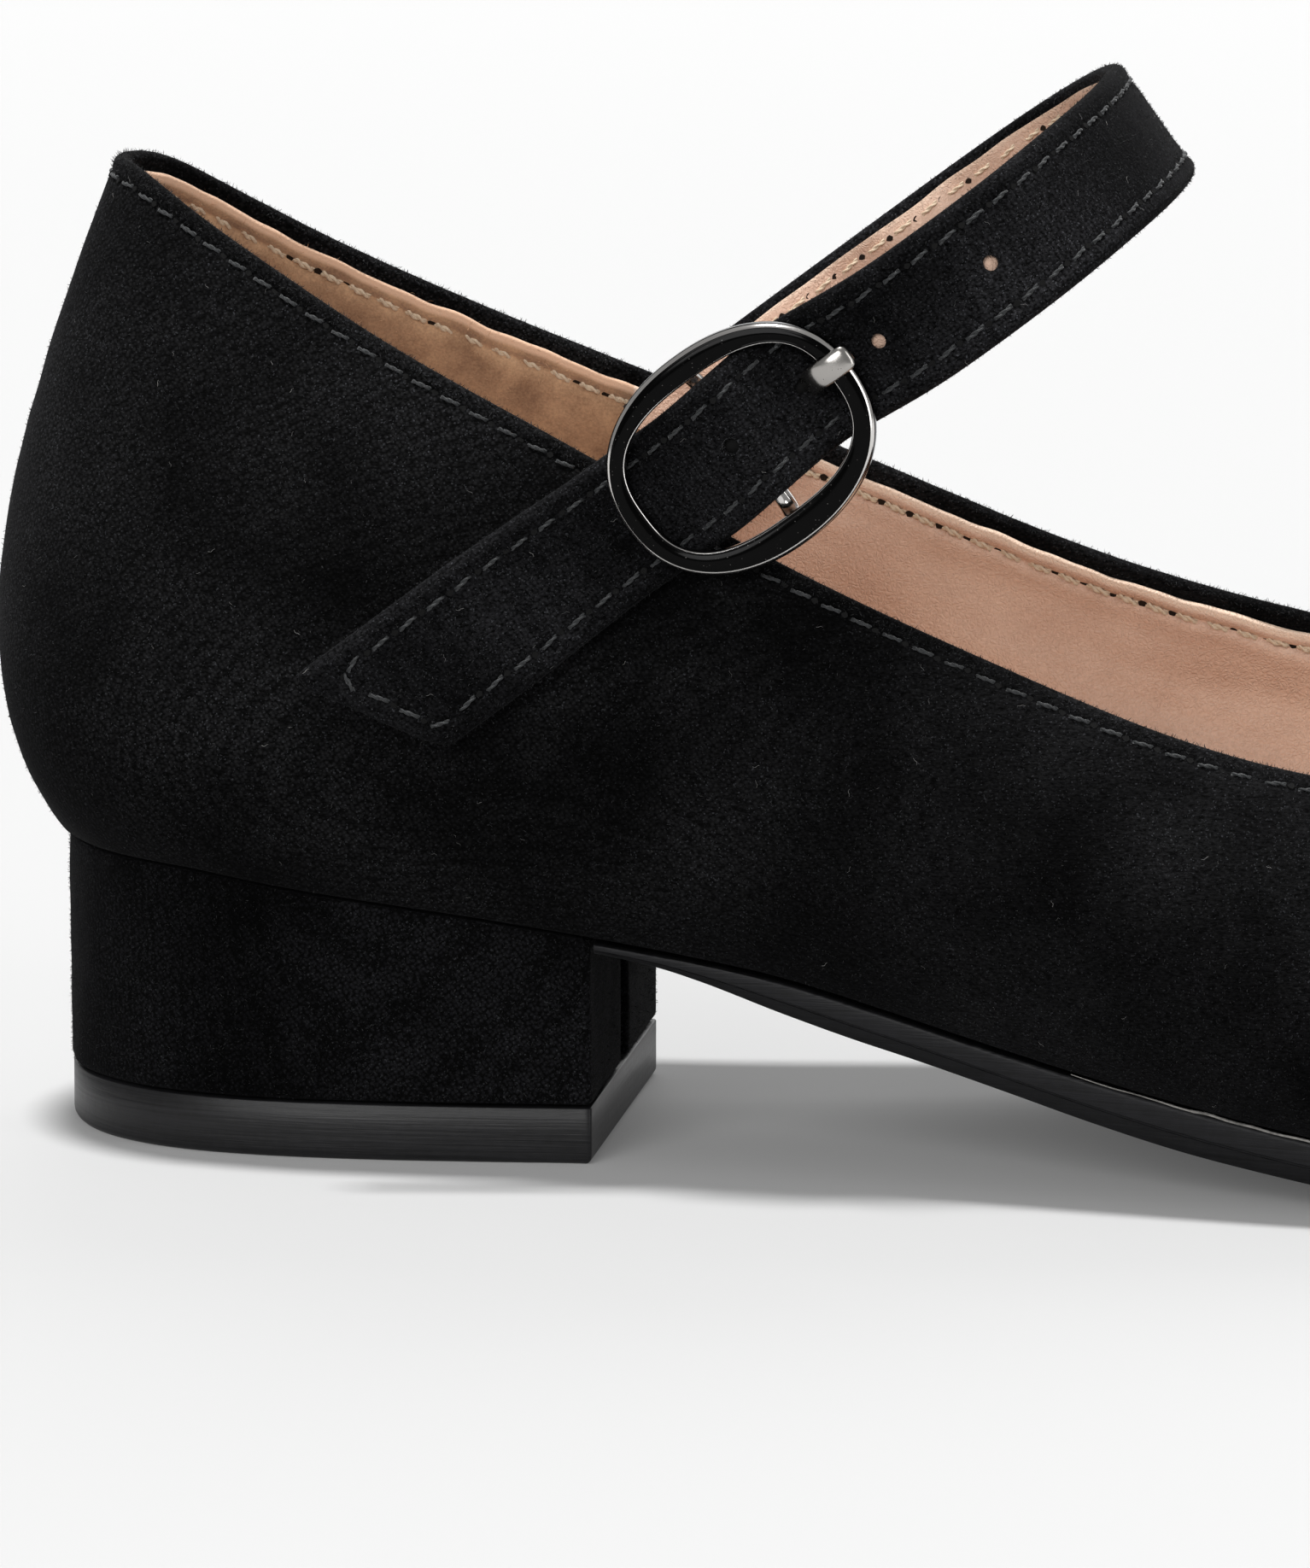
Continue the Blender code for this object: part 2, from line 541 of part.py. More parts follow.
def make_buckle_frame(parts, cutters):
    """Oval rim with rounded edges and a centre bar that is bowed inwards."""
    around, round_section = 56, 10
    points, faces = [], []
    for i in range(around):
        angle = 2.0 * math.pi * i / around
        for j in range(round_section):
            turn = 2.0 * math.pi * (j + 0.5) / round_section
            c, s = math.cos(turn), math.sin(turn)
            reach = BUCKLE_RIM / 2.0 * (1.0 - math.copysign(abs(c) ** BUCKLE_EDGE, c))
            along, across = oval_point(angle, reach)
            side = BUCKLE_SIDE + BUCKLE_THICK / 2.0 * math.copysign(abs(s) ** BUCKLE_EDGE, s)
            points.append(strap_place(along, side, across))
    for i in range(around):
        for j in range(round_section):
            a, b = i * round_section, ((i + 1) % around) * round_section
            k = (j + 1) % round_section
            faces.append((a + j, b + j, b + k, a + k))
    frame = object_from("buckle_frame", points, faces, parts, DARK_NICKEL)

    points, faces = [], []
    steps, sides = 13, 10
    reach = BUCKLE_WIDTH / 2.0 - BUCKLE_RIM / 2.0
    for i in range(steps):
        across = -reach + 2.0 * reach * i / (steps - 1)
        bow = BAR_DROP * min(1.0, BAR_BOW * (1.0 - abs(across) / reach))
        for j in range(sides):
            turn = 2.0 * math.pi * j / sides
            points.append(strap_place(BAR_RADIUS * math.cos(turn),
                                      BUCKLE_SIDE + bow + BAR_RADIUS * math.sin(turn), across))
    for i in range(steps - 1):
        for j in range(sides):
            a, k = i * sides, (j + 1) % sides
            faces.append((a + j, a + k, a + sides + k, a + sides + j))
    faces.append(tuple(reversed(range(sides))))
    faces.append(tuple(range((steps - 1) * sides, steps * sides)))
    bar = object_from("buckle_bar_tool", points, faces, cutters)
    combine(frame, "UNION", bar)


def hinge_loop(radius, start, stop, count):
    """Bends of a loop round the buckle's bar, from one angle to another in degrees."""
    centre = BUCKLE_SIDE + BAR_DROP
    turns = [math.radians(start + (stop - start) * i / (count - 1)) for i in range(count)]
    return [Bend(radius * math.cos(turn), centre + radius * math.sin(turn), 0.0) for turn in turns]


def make_prong(parts):
    """Flat prong: an eye round the bar, then under the strap, up through its hole and over the rim."""
    eye = hinge_loop(BAR_RADIUS + GAP + PRONG_THICK / 2.0, 10.0, -290.0, 14)
    band("buckle_prong", [*eye, *PRONG_PATH_END], PRONG_WIDTH, PRONG_THICK, 40, 0.0, 2, parts, DARK_NICKEL)


def make_tab(parts, cutters):
    """Elastic tab from inside the collar, looped round the buckle's bar and slotted for the prong."""
    loop = hinge_loop(BAR_RADIUS + GAP + TAB_THICK / 2.0, 110.0, -150.0, 13)
    tab = band("buckle_tab", [*TAB_PATH_START, *loop], TAB_WIDTH, TAB_THICK, 36, 0.0, 2, parts, BLACK_ELASTIC)
    bpy.ops.mesh.primitive_cube_add(size=MM)
    slot = as_cutter("tab_slot_cutter", cutters)
    slot.scale = (8.0, 12.0, TAB_SLOT)
    slot.rotation_euler = (0.0, -math.atan2(STRAP_RUN[1], STRAP_RUN[0]), 0.0)
    slot.location = to_metres(strap_place(1.0, BUCKLE_SIDE + BAR_DROP, 0.0))
    combine(tab, "DIFFERENCE", slot)


def main():
    """Build the shoe."""
    clear_scene()
    parts = new_collection(COLLECTION_NAME)
    cutters = new_collection("cutters")
    make_upper(parts)
    make_insole(parts)
    make_outsole(parts)
    make_heel(parts, cutters)
    make_strap(parts, cutters)
    make_buckle_frame(parts, cutters)
    make_prong(parts)
    make_tab(parts, cutters)


main()
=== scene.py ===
"""Looks of a right-foot Mary Jane: black faux suede, low covered block heel, instep strap and oval buckle.

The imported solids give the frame. Soft pieces are built again here at full detail, in the same frame: the
suede upper, its linings and sock, the strap, the heel cover, the sole and the buckle. Sizes are in
millimetres and are turned to metres when a mesh is made. A "station" is a distance from the rearmost
point of the upper, the side is y (the inner side of the foot is +), and heights are above the floor.
"""

import logging
import math
from dataclasses import dataclass
from enum import Enum
from functools import partial
from typing import Callable, NamedTuple, Optional, Sequence, Union

import bmesh
import bpy
import numpy as np
from mathutils import Matrix, Vector
from mathutils.kdtree import KDTree


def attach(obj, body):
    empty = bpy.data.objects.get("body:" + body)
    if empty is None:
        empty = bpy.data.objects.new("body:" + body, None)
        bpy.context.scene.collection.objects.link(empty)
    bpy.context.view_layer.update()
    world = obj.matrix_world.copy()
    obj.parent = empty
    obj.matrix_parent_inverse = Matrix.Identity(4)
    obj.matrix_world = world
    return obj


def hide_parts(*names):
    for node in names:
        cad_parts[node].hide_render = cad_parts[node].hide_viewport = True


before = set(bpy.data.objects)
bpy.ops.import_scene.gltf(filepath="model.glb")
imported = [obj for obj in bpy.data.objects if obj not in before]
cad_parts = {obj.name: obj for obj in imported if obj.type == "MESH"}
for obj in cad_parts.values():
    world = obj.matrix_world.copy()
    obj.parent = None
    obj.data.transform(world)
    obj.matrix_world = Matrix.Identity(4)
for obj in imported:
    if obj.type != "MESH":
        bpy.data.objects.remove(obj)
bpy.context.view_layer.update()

logging.basicConfig(level=logging.INFO, format="%(message)s")
log = logging.getLogger("mary_jane")

MM = 0.001
HEEL_MIDDLE = 37.0      # station of the middle of the heel's resting face, where x is 0
BODY = "root"
GROOVE_HALF = 0.42      # half width of the channel that a seam presses into suede or lining
SWELL_HALF = 0.7        # half width of the swell between a seam and the edge beside it
UNCUT = 10.0            # a distance on the surface map at which a lining shows no cut edge
FULL_TURN = 2.0 * math.pi
WAVE_SCALE = FULL_TURN / 20.0       # the wave texture repeats 20 times in a full turn at scale 1

Array = np.ndarray
Rgb = tuple[float, float, float]
Face = tuple[int, ...]
Solid = tuple[Array, list[Face]]            # points in rows, and faces
Pick = Callable[[Array, Array], Array]      # picks faces by their middles in millimetres and normals
Piece = bpy.types.Object
Material = bpy.types.Material
Tree = bpy.types.NodeTree
Node = bpy.types.Node
Sockets = bpy.types.NodeOutputs
Adder = Callable[..., Node]                 # add_node for one tree


# ---- small tools
def linear(code: str) -> Rgb:
    """Turn an sRGB colour, six hex digits after a hash sign, into linear red, green and blue."""
    parts = [int(code[i:i + 2], 16) / 255.0 for i in (1, 3, 5)]
    return tuple(p / 12.92 if p <= 0.04045 else ((p + 0.055) / 1.055) ** 2.4 for p in parts)


def to_metres(points: Array) -> Array:
    """Turn rows of station, side and height in millimetres into places in metres."""
    points = np.asarray(points, float)
    return (points - np.array([HEEL_MIDDLE, 0.0, 0.0])) * MM


def unit(vectors: Array) -> Array:
    """Scale vectors along the last axis to length one."""
    return vectors / np.maximum(np.linalg.norm(vectors, axis=-1, keepdims=True), 1e-12)


def cubic_through(knots: Array, rows: Array, wanted: Array, closed: bool = False) -> Array:
    """Smooth cubic curve through rows of numbers.

    Args:
        knots: Rising knot values, one a row, and for a closed curve one more where it comes round.
        rows: One row of numbers for each knot.
        wanted: Knot values at which the curve is read.
        closed: Whether the curve comes round again.

    Returns:
        One row for each wanted value.
    """
    knots, rows, wanted = (np.asarray(a, float) for a in (knots, rows, wanted))
    count = len(rows)
    if closed:
        rows = np.vstack([rows, rows[0]])
    steps = np.diff(knots)
    slopes = np.diff(rows, axis=0) / steps[:, None]
    system = np.zeros((count, count))
    right = np.zeros((count, rows.shape[1]))
    for i in range(count):
        if not closed and i in (0, count - 1):
            system[i, i] = 1.0
            continue
        before, after = steps[i - 1], steps[i]
        system[i, (i - 1) % count] += before
        system[i, i] += 2.0 * (before + after)
        system[i, (i + 1) % count] += after
        right[i] = 6.0 * (slopes[i] - slopes[i - 1])
    bends = np.linalg.solve(system, right)
    if closed:
        bends = np.vstack([bends, bends[0]])
    part = np.clip(np.searchsorted(knots, wanted, side="right") - 1, 0, len(steps) - 1)
    step = steps[part][:, None]
    left = (knots[part + 1] - wanted)[:, None] / step
    ahead = 1.0 - left
    return (left * rows[part] + ahead * rows[part + 1]
            + ((left ** 3 - left) * bends[part] + (ahead ** 3 - ahead) * bends[part + 1]) * step ** 2 / 6.0)


def run_length(points: Array) -> Array:
    """Distance along lines of points, from 0 at the first point of each."""
    steps = np.linalg.norm(np.diff(points, axis=-2), axis=-1)
    return np.concatenate([np.zeros_like(steps[..., :1]), np.cumsum(steps, axis=-1)], axis=-1)


def read_rows(wanted: Array, known: Array, rows: Array) -> Array:
    """Rows of a table read between its known values."""
    return np.stack([np.interp(wanted, known, column) for column in rows.T], -1)


def full_turn(count: int) -> Array:
    """Even angles once round."""
    return np.linspace(0.0, FULL_TURN, count, endpoint=False)


def plane_path(path: Array, count: int) -> tuple[Array, Array, Array]:
    """A smooth line through points of a plane, read at even steps.

    Args:
        path: The points, two numbers each.
        count: How many steps.

    Returns:
        Distances along the line, its points, and unit normals to its left.
    """
    knots = run_length(path)
    even = np.linspace(0.0, knots[-1], count)
    line = cubic_through(knots, path, even)
    slope = unit(np.gradient(line, even, axis=0))
    return even, line, np.stack([-slope[:, 1], slope[:, 0]], -1)


def level_line(table: Sequence[tuple[float, float]]) -> Callable[[Array], Array]:
    """Height along the shoe that passes through a table's levels and never overshoots between them.

    Args:
        table: Pairs of station and height.

    Returns:
        A function from stations to heights.
    """
    stations, heights = (np.array(column, float) for column in zip(*table))
    steps = np.diff(stations)
    slopes = np.diff(heights) / steps
    tangents = np.zeros(len(stations))
    tangents[0], tangents[-1] = slopes[0], slopes[-1]
    for i in range(1, len(stations) - 1):
        if slopes[i - 1] * slopes[i] > 0.0:
            tangents[i] = 2.0 * slopes[i - 1] * slopes[i] / (slopes[i - 1] + slopes[i])

    def height(station: Array) -> Array:
        """Read the line.

        Args:
            station: One station or several.

        Returns:
            The height at each.
        """
        station = np.asarray(station, float)
        i = np.clip(np.searchsorted(stations, station) - 1, 0, len(steps) - 1)
        t = (station - stations[i]) / steps[i]
        return ((1 + 2 * t) * (1 - t) ** 2 * heights[i] + t * (1 - t) ** 2 * steps[i] * tangents[i]
                + t * t * (3 - 2 * t) * heights[i + 1] + t * t * (t - 1) * steps[i] * tangents[i + 1])

    return height


def soft_noise(points: Array, size: float, seed: int) -> Array:
    """Smooth even noise made of a few crossing waves, the same on each run.

    Args:
        points: Places in millimetres, in any array whose last axis is x, y and z.
        size: The usual distance from one swell to the next, in millimetres.
        seed: A number that picks the waves.

    Returns:
        Values near -1 to 1, one a place.
    """
    chance = np.random.default_rng(seed)
    total = np.zeros(points.shape[:-1])
    for _ in range(9):
        way = unit(chance.normal(size=3)) * (2.0 * math.pi / (size * chance.uniform(0.7, 1.5)))
        total += np.sin(points @ way + chance.uniform(0.0, 2.0 * math.pi))
    return total / 4.0


def grid_faces(rows: int, columns: int, round_rows: bool = False, round_columns: bool = True) -> list:
    """Quads of a grid of points stored row by row.

    Args:
        rows: How many rows.
        columns: How many columns.
        round_rows: Whether the last row joins the first.
        round_columns: Whether the last column joins the first.

    Returns:
        Faces as tuples of point numbers.
    """
    faces = []
    for j in range(rows if round_rows else rows - 1):
        low, high = j * columns, ((j + 1) % rows) * columns
        for i in range(columns if round_columns else columns - 1):
            k = (i + 1) % columns
            faces.append((low + i, low + k, high + k, high + i))
    return faces


def shifted(faces: Sequence[Face], base: int) -> list[Face]:
    """The same faces with every point number raised by one amount."""
    return [tuple(base + k for k in face) for face in faces]


def tube_faces(rows: int, columns: int) -> list[Face]:
    """Faces of a tube of that many rings and points to a ring, closed at both ends."""
    ends = [tuple(range(columns)), tuple(range((rows - 1) * columns, rows * columns))]
    return grid_faces(rows, columns) + ends


def tube(line: Array, radius: Union[float, Array], sides: int) -> Solid:
    """A closed tube round a line that runs more or less along the shoe.

    Args:
        line: Its middle points.
        radius: One radius, or one a point.
        sides: How many points go round it.

    Returns:
        The tube.
    """
    turns = full_turn(sides)
    ring = np.stack([0.0 * turns, np.cos(turns), np.sin(turns)], -1)
    reach = np.broadcast_to(radius, len(line))[:, None, None]
    return (line[:, None, :] + ring * reach).reshape(-1, 3), tube_faces(len(line), sides)


def together(bodies: Sequence[Solid]) -> Solid:
    """Several bodies as one, with their faces renumbered."""
    starts = np.cumsum([0] + [len(points) for points, _ in bodies])
    faces = [face for start, (_, own) in zip(starts, bodies) for face in shifted(own, int(start))]
    return np.concatenate([points for points, _ in bodies]), faces


def slab(over: Array, under: Array) -> Solid:
    """A closed body between two grids of points.

    Args:
        over: One face's points, by row and by place across.
        under: As many points of the other face.

    Returns:
        The body, rim and all.
    """
    rows, across = over.shape[:2]
    base = rows * across
    grid = grid_faces(rows, across, round_columns=False)
    number = np.arange(base).reshape(rows, across)
    faces = [face[::-1] for face in grid] + shifted(grid, base)
    for edge in (number[:, 0], number[:, -1], number[0], number[-1]):
        faces += [(a, b, base + b, base + a) for a, b in zip(edge, edge[1:])]
    return np.concatenate([over.reshape(-1, 3), under.reshape(-1, 3)]), faces


def arc(centre: Array, start: Array, side: Array, turns: Array) -> list[Array]:
    """Points at each turn round many centres: from start at 0 towards side at a quarter turn."""
    return [centre + start * math.cos(t) + side * math.sin(t) for t in turns]


def new_object(name: str, mesh: bpy.types.Mesh) -> Piece:
    """Put a mesh into the scene as an object at the origin."""
    made = bpy.data.objects.new(name, mesh)
    bpy.context.scene.collection.objects.link(made)
    return made


def build(name: str, points: Array, faces: Sequence[Face], uv: Optional[Array] = None, sharp: float = 60.0,
          merge: float = 0.002, outward: bool = True) -> Piece:
    """Make an object from points in millimetres and faces.

    Args:
        name: The piece's name.
        points: Station, side and height of each point.
        faces: Tuples of point numbers.
        uv: Lengths along and across a piece in millimetres, one pair a point.
        sharp: Edges that turn by more than this many degrees are drawn sharp.
        merge: Points nearer than this in millimetres become one.
        outward: Whether the faces are turned to point outwards.

    Returns:
        The object.
    """
    shape = bmesh.new()
    corners = [shape.verts.new(Vector(point)) for point in to_metres(points)]
    layer = shape.loops.layers.uv.new("surface") if uv is not None else None
    for face in faces:
        made = shape.faces.new([corners[i] for i in face])
        if layer is not None:
            for loop, i in zip(made.loops, face):
                loop[layer].uv = (float(uv[i][0]), float(uv[i][1]))
    bmesh.ops.remove_doubles(shape, verts=shape.verts, dist=merge * MM)
    if outward:
        bmesh.ops.recalc_face_normals(shape, faces=shape.faces)
    mesh = bpy.data.meshes.new(name)
    shape.to_mesh(mesh)
    shape.free()
    mesh.shade_smooth()
    mesh.set_sharp_from_angle(angle=math.radians(sharp))
    return new_object(name, mesh)


def settle(piece: Piece, finish: Material, slot: str, *nodes: str) -> Piece:
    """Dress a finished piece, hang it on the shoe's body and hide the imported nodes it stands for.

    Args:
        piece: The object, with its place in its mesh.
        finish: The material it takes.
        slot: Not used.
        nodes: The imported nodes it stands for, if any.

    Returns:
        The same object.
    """
    piece.data.materials.clear()
    piece.data.materials.append(finish)
    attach(piece, BODY)
    if nodes:
        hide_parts(*nodes)
    triangles = sum(len(face.vertices) - 2 for face in piece.data.polygons)
    log.info("%-24s %7d triangles", piece.name, triangles)
    return piece


def bake(piece: Piece, name: str) -> Piece:
    """Turn an object and its modifiers into a plain mesh.

    Args:
        piece: The object. It is removed.
        name: The new object's name.

    Returns:
        The new object.
    """
    graph = bpy.context.evaluated_depsgraph_get()
    mesh = bpy.data.meshes.new_from_object(piece.evaluated_get(graph))
    mesh.name = name
    bpy.data.objects.remove(piece, do_unlink=True)
    return new_object(name, mesh)


def stand(cutter: Piece, axes: Sequence[Array], middle: Array) -> Piece:
    """Stand a cutter on its three axes.

    Args:
        cutter: The shape.
        axes: Where its x, y and z go, with its size along each.
        middle: Its place in millimetres.

    Returns:
        The cutter.
    """
    turn = Matrix([Vector(axis) for axis in axes]).transposed().to_4x4()
    turn.translation = Vector(to_metres(middle))
    cutter.matrix_world = turn
    return cutter


def cut_away(piece: Piece, cutters: Sequence[Piece]) -> Piece:
    """Cut shapes out of a piece.

    Args:
        piece: What is cut. It is removed.
        cutters: The shapes. They are removed too.

    Returns:
        The cut piece as a plain mesh, under the same name.
    """
    for number, cutter in enumerate(cutters):
        cut = piece.modifiers.new(f"cut_{number}", "BOOLEAN")
        cut.operation, cut.solver, cut.object = "DIFFERENCE", "EXACT", cutter
    made = bake(piece, piece.name)
    for cutter in cutters:
        bpy.data.objects.remove(cutter, do_unlink=True)
    return made


# ---- finishes
def add_node(tree: Tree, kind: str, inputs: Optional[dict] = None, **settings: object) -> Node:
    """Add a node, set its options, and set or link its inputs.

    Args:
        tree: The tree that the node goes into.
        kind: Blender's name of the node's class, which may leave out "ShaderNode".
        inputs: Input names or numbers, each with a value, or with the output that is linked to it, or with
            a node whose first output in use is linked.
        settings: The node's options by name.

    Returns:
        The node.
    """
    node = tree.nodes.new(kind if "Node" in kind else "ShaderNode" + kind)
    for option, value in settings.items():
        setattr(node, option, value)
    for key, value in (inputs or {}).items():
        if isinstance(value, Node):
            value = next(output for output in value.outputs if output.enabled)
        if isinstance(value, bpy.types.NodeSocket):
            tree.links.new(value, node.inputs[key])
        else:
            node.inputs[key].default_value = value
    return node


def rgba(colour: str) -> tuple[float, float, float, float]:
    """A linear colour with alpha 1 from a hex code."""
    return (*linear(colour), 1.0)


def per_metre(size_mm: float) -> float:
    """The scale of a texture on Object coordinates whose features are about this many millimetres."""
    return 1.0 / (size_mm * MM)


class Finish:
    """A finish whose nodes read the surface's coordinates and end in one shader."""

    name: str

    def shader(self, add: Adder, coords: Sockets) -> Node:
        """Add the finish's own nodes to the surface's coordinates, and give the shader they end in."""
        raise NotImplementedError

    def make(self) -> Material:
        """Build the material.

        Returns:
            The material.
        """
        material = bpy.data.materials.new(self.name)
        material.use_nodes = True
        material.node_tree.nodes.clear()
        add = partial(add_node, material.node_tree)
        add("OutputMaterial", {"Surface": self.shader(add, add("TexCoord").outputs)})
        return material


@dataclass(frozen=True)
class FauxSuede(Finish):
    """Black microfibre faux suede: a brushed polyester nap on a fine woven back.

    The nap scatters light, so there is no gloss and faces seen edge-on look paler. Pale spots painted into
    the colour stand for highlights where short fibre tufts catch the light. Under a thin nap the knots of the
    weave just show.
    """

    name: str = "black_faux_suede"
    dark: str = "#030303"
    light: str = "#1c1c1d"
    tip: str = "#3a3b3e"        # painted highlight: the colour of a fibre end that catches the light
    tuft: float = 0.21          # from one fibre tuft to the next, up the shoe
    tuft_length: float = 2.9    # how many times longer tufts are along the rows
    glint_size: float = 0.13
    glint_share: float = 0.06     # how many of the spots get that painted highlight
    weave: float = 0.46         # from one knot of the weave to the next
    patch: float = 24.0         # size of areas that are brushed one way
    grain_depth: float = 0.14
    weave_share: float = 0.15   # how much the weave shows against the tufts
    rear_share: float = 0.42    # the same round the heel, where the nap is thin
    thin_nap: tuple[float, float] = (30.0, 75.0)    # where one gives way to the other, along the shoe
    cover: tuple[float, float] = (0.34, 0.74)       # levels of the grain between which tufts turn light

    def shader(self, add: Adder, coords: Sockets) -> Node:
        """Tufts and knots of the weave, brushed in patches, with painted highlights on fibre ends.

        Args:
            add: Adds a node to the material's tree.
            coords: What its Texture Coordinate node gives.

        Returns:
            The shader that the nodes end in.
        """
        place, flat = coords["Object"], 1.0 / self.tuft_length
        level = add("Mapping", {"Vector": place, "Scale": (flat, flat, 1.0)})
        tufts = add("TexNoise", {
            "Vector": level, "Scale": per_metre(self.tuft), "Detail": 3.0, "Roughness": 0.65})
        aslant = add("Mapping", {"Vector": place, "Rotation": (0.0, 0.6, 0.0)})
        knots = add("TexVoronoi", {"Vector": aslant, "Scale": per_metre(self.weave), "Randomness": 0.55})
        knobs = add("MapRange", {
            "Value": knots, "From Min": 0.1, "From Max": 0.6, "To Min": 0.9, "To Max": 0.2})
        along = add("SeparateXYZ", {0: place})
        share = add("MapRange", {
            "Value": along, "From Min": self.thin_nap[0] * MM, "From Max": self.thin_nap[1] * MM,
            "To Min": self.rear_share, "To Max": self.weave_share})
        grain = add("Mix", {0: share, 2: tufts, 3: knobs}, data_type="FLOAT")
        sharp = add("MapRange", {"Value": grain, "From Min": self.cover[0], "From Max": self.cover[1]})
        patches = add("TexNoise", {
            "Vector": place, "Scale": per_metre(self.patch), "Detail": 5.0, "Roughness": 0.55})
        brushed = add("MapRange", {
            "Value": patches, "From Min": 0.36, "From Max": 0.66, "To Min": 0.3, "To Max": 1.7})
        tone = add("Mix", {0: sharp, 6: rgba(self.dark), 7: rgba(self.light)}, data_type="RGBA")
        # Painted highlight: sparse spots take the pale tip colour, standing for fibre ends that catch the
        # light.
        cells = add("TexVoronoi", {"Vector": place, "Scale": per_metre(self.glint_size)})
        chance = add("SeparateXYZ", {0: cells.outputs["Color"]})
        glint_mask = add("MapRange", {
            "Value": chance, "From Min": 1.0 - self.glint_share, "From Max": 1.0, "To Min": 0.0, "To Max": 0.6})
        glinted = add("Mix", {0: glint_mask, 6: tone, 7: rgba(self.tip)}, data_type="RGBA")
        worn = add("VectorMath", {0: glinted, "Scale": brushed}, operation="SCALE")
        bump = add("Bump", {"Height": grain, "Strength": 0.85, "Distance": self.grain_depth * MM})
        return add("BsdfPrincipled", {
            "Base Color": worn, "Roughness": 0.95, "Specular IOR Level": 0.04, "Sheen Weight": 0.03,
            "Sheen Roughness": 0.5, "Sheen Tint": rgba("#a9a9ad"), "Normal": bump})


@dataclass(frozen=True)
class Thread(Finish):
    """Spun polyester sewing thread: two twisted plies with a faint sheen and a fuzzy surface."""

    name: str
    colour: str
    fleck: str
    fibre: float = 0.16

    def shader(self, add: Adder, coords: Sockets) -> Node:
        """Fine flecks of fibre on one tone.

        Args:
            add: Adds a node to the material's tree.
            coords: What its Texture Coordinate node gives.

        Returns:
            The shader that the nodes end in.
        """
        fibres = add("TexNoise", {"Vector": coords["Object"], "Scale": per_metre(self.fibre), "Detail": 2.0})
        tone = add("Mix", {0: fibres, 6: rgba(self.colour), 7: rgba(self.fleck)}, data_type="RGBA")
        bump = add("Bump", {"Height": fibres, "Strength": 0.5, "Distance": 0.05 * MM})
        return add("BsdfPrincipled", {
            "Base Color": tone, "Roughness": 0.62, "Sheen Weight": 0.3,
            "Sheen Roughness": 0.4, "Normal": bump})


@dataclass(frozen=True)
class LiningHide(Finish):
    """Beige lining, either brushed pigskin or smooth synthetic hide, with a raw pale cut edge.

    Smooth hide has a soft gloss, fine pores and long stretch wrinkles. The brushed side is matt, with a
    cloudy nap. On both, the cut edge at the top is nearly cream. The surface map gives millimetres
    round the shoe and millimetres below the cut edge.
    """

    name: str
    deep: str
    pale: str
    edge: str
    roughness: float
    pore: float                 # from pore to pore
    pore_depth: float
    cloud: float                # size of the cloudy areas
    wrinkle: float = 9.0        # from one stretch wrinkle to the next
    wrinkle_depth: float = 0.0
    sheen: float = 0.0
    edge_width: float = 0.75

    def shader(self, add: Adder, coords: Sockets) -> Node:
        """Pores with wavy borders, cloudy colour, stretch wrinkles and the pale edge.

        Args:
            add: Adds a node to the material's tree.
            coords: What its Texture Coordinate node gives.

        Returns:
            The shader that the nodes end in.
        """
        place = coords["Object"]
        below = add("SeparateXYZ", {0: coords["UV"]}).outputs[1]
        bend = add("TexNoise", {"Vector": place, "Scale": per_metre(self.pore * 2.2), "Detail": 2.0})
        shift = add("VectorMath", {
            0: bend.outputs["Color"], "Scale": 3.0 * self.pore * MM}, operation="SCALE")
        bent = add("VectorMath", {0: place, 1: shift}, operation="ADD")
        cells = add("TexVoronoi", {"Vector": bent, "Scale": per_metre(self.pore)}, feature="DISTANCE_TO_EDGE")
        pores = add("MapRange", {
            "Value": cells, "From Min": 0.0, "From Max": 0.3}, interpolation_type="SMOOTHSTEP")
        fuzz = add("TexNoise", {"Vector": place, "Scale": per_metre(self.pore * 0.6), "Detail": 3.0})
        clouds = add("TexNoise", {
            "Vector": place, "Scale": per_metre(self.cloud), "Detail": 4.0, "Roughness": 0.6})
        mixed = add("Mix", {0: 0.35, 2: clouds, 3: fuzz}, data_type="FLOAT")
        spread = add("MapRange", {"Value": mixed, "From Min": 0.35, "From Max": 0.65})
        hide = add("Mix", {0: spread, 6: rgba(self.deep), 7: rgba(self.pale)}, data_type="RGBA")
        cut = add("MapRange", {
            "Value": below, "From Min": 0.3, "From Max": self.edge_width, "To Min": 1.0, "To Max": 0.0})
        colour = add("Mix", {0: cut, 6: hide, 7: rgba(self.edge)}, data_type="RGBA")
        slant = add("Mapping", {"Vector": place, "Rotation": (0.0, -0.35, 0.0)})
        drawn = add("Mapping", {"Vector": slant, "Scale": (0.24, 0.5, 1.0)})
        wrinkles = add("TexNoise", {
            "Vector": drawn, "Scale": per_metre(self.wrinkle), "Detail": 1.0, "Roughness": 0.4,
            "Distortion": 0.2})
        low = add("Bump", {"Height": wrinkles, "Strength": 0.8, "Distance": self.wrinkle_depth * MM})
        bump = add("Bump", {
            "Height": pores, "Strength": 0.6, "Distance": self.pore_depth * MM, "Normal": low})
        return add("BsdfPrincipled", {
            "Base Color": colour, "Roughness": self.roughness, "Sheen Weight": self.sheen,
            "Sheen Roughness": 0.6, "Specular IOR Level": 0.35, "Normal": bump})


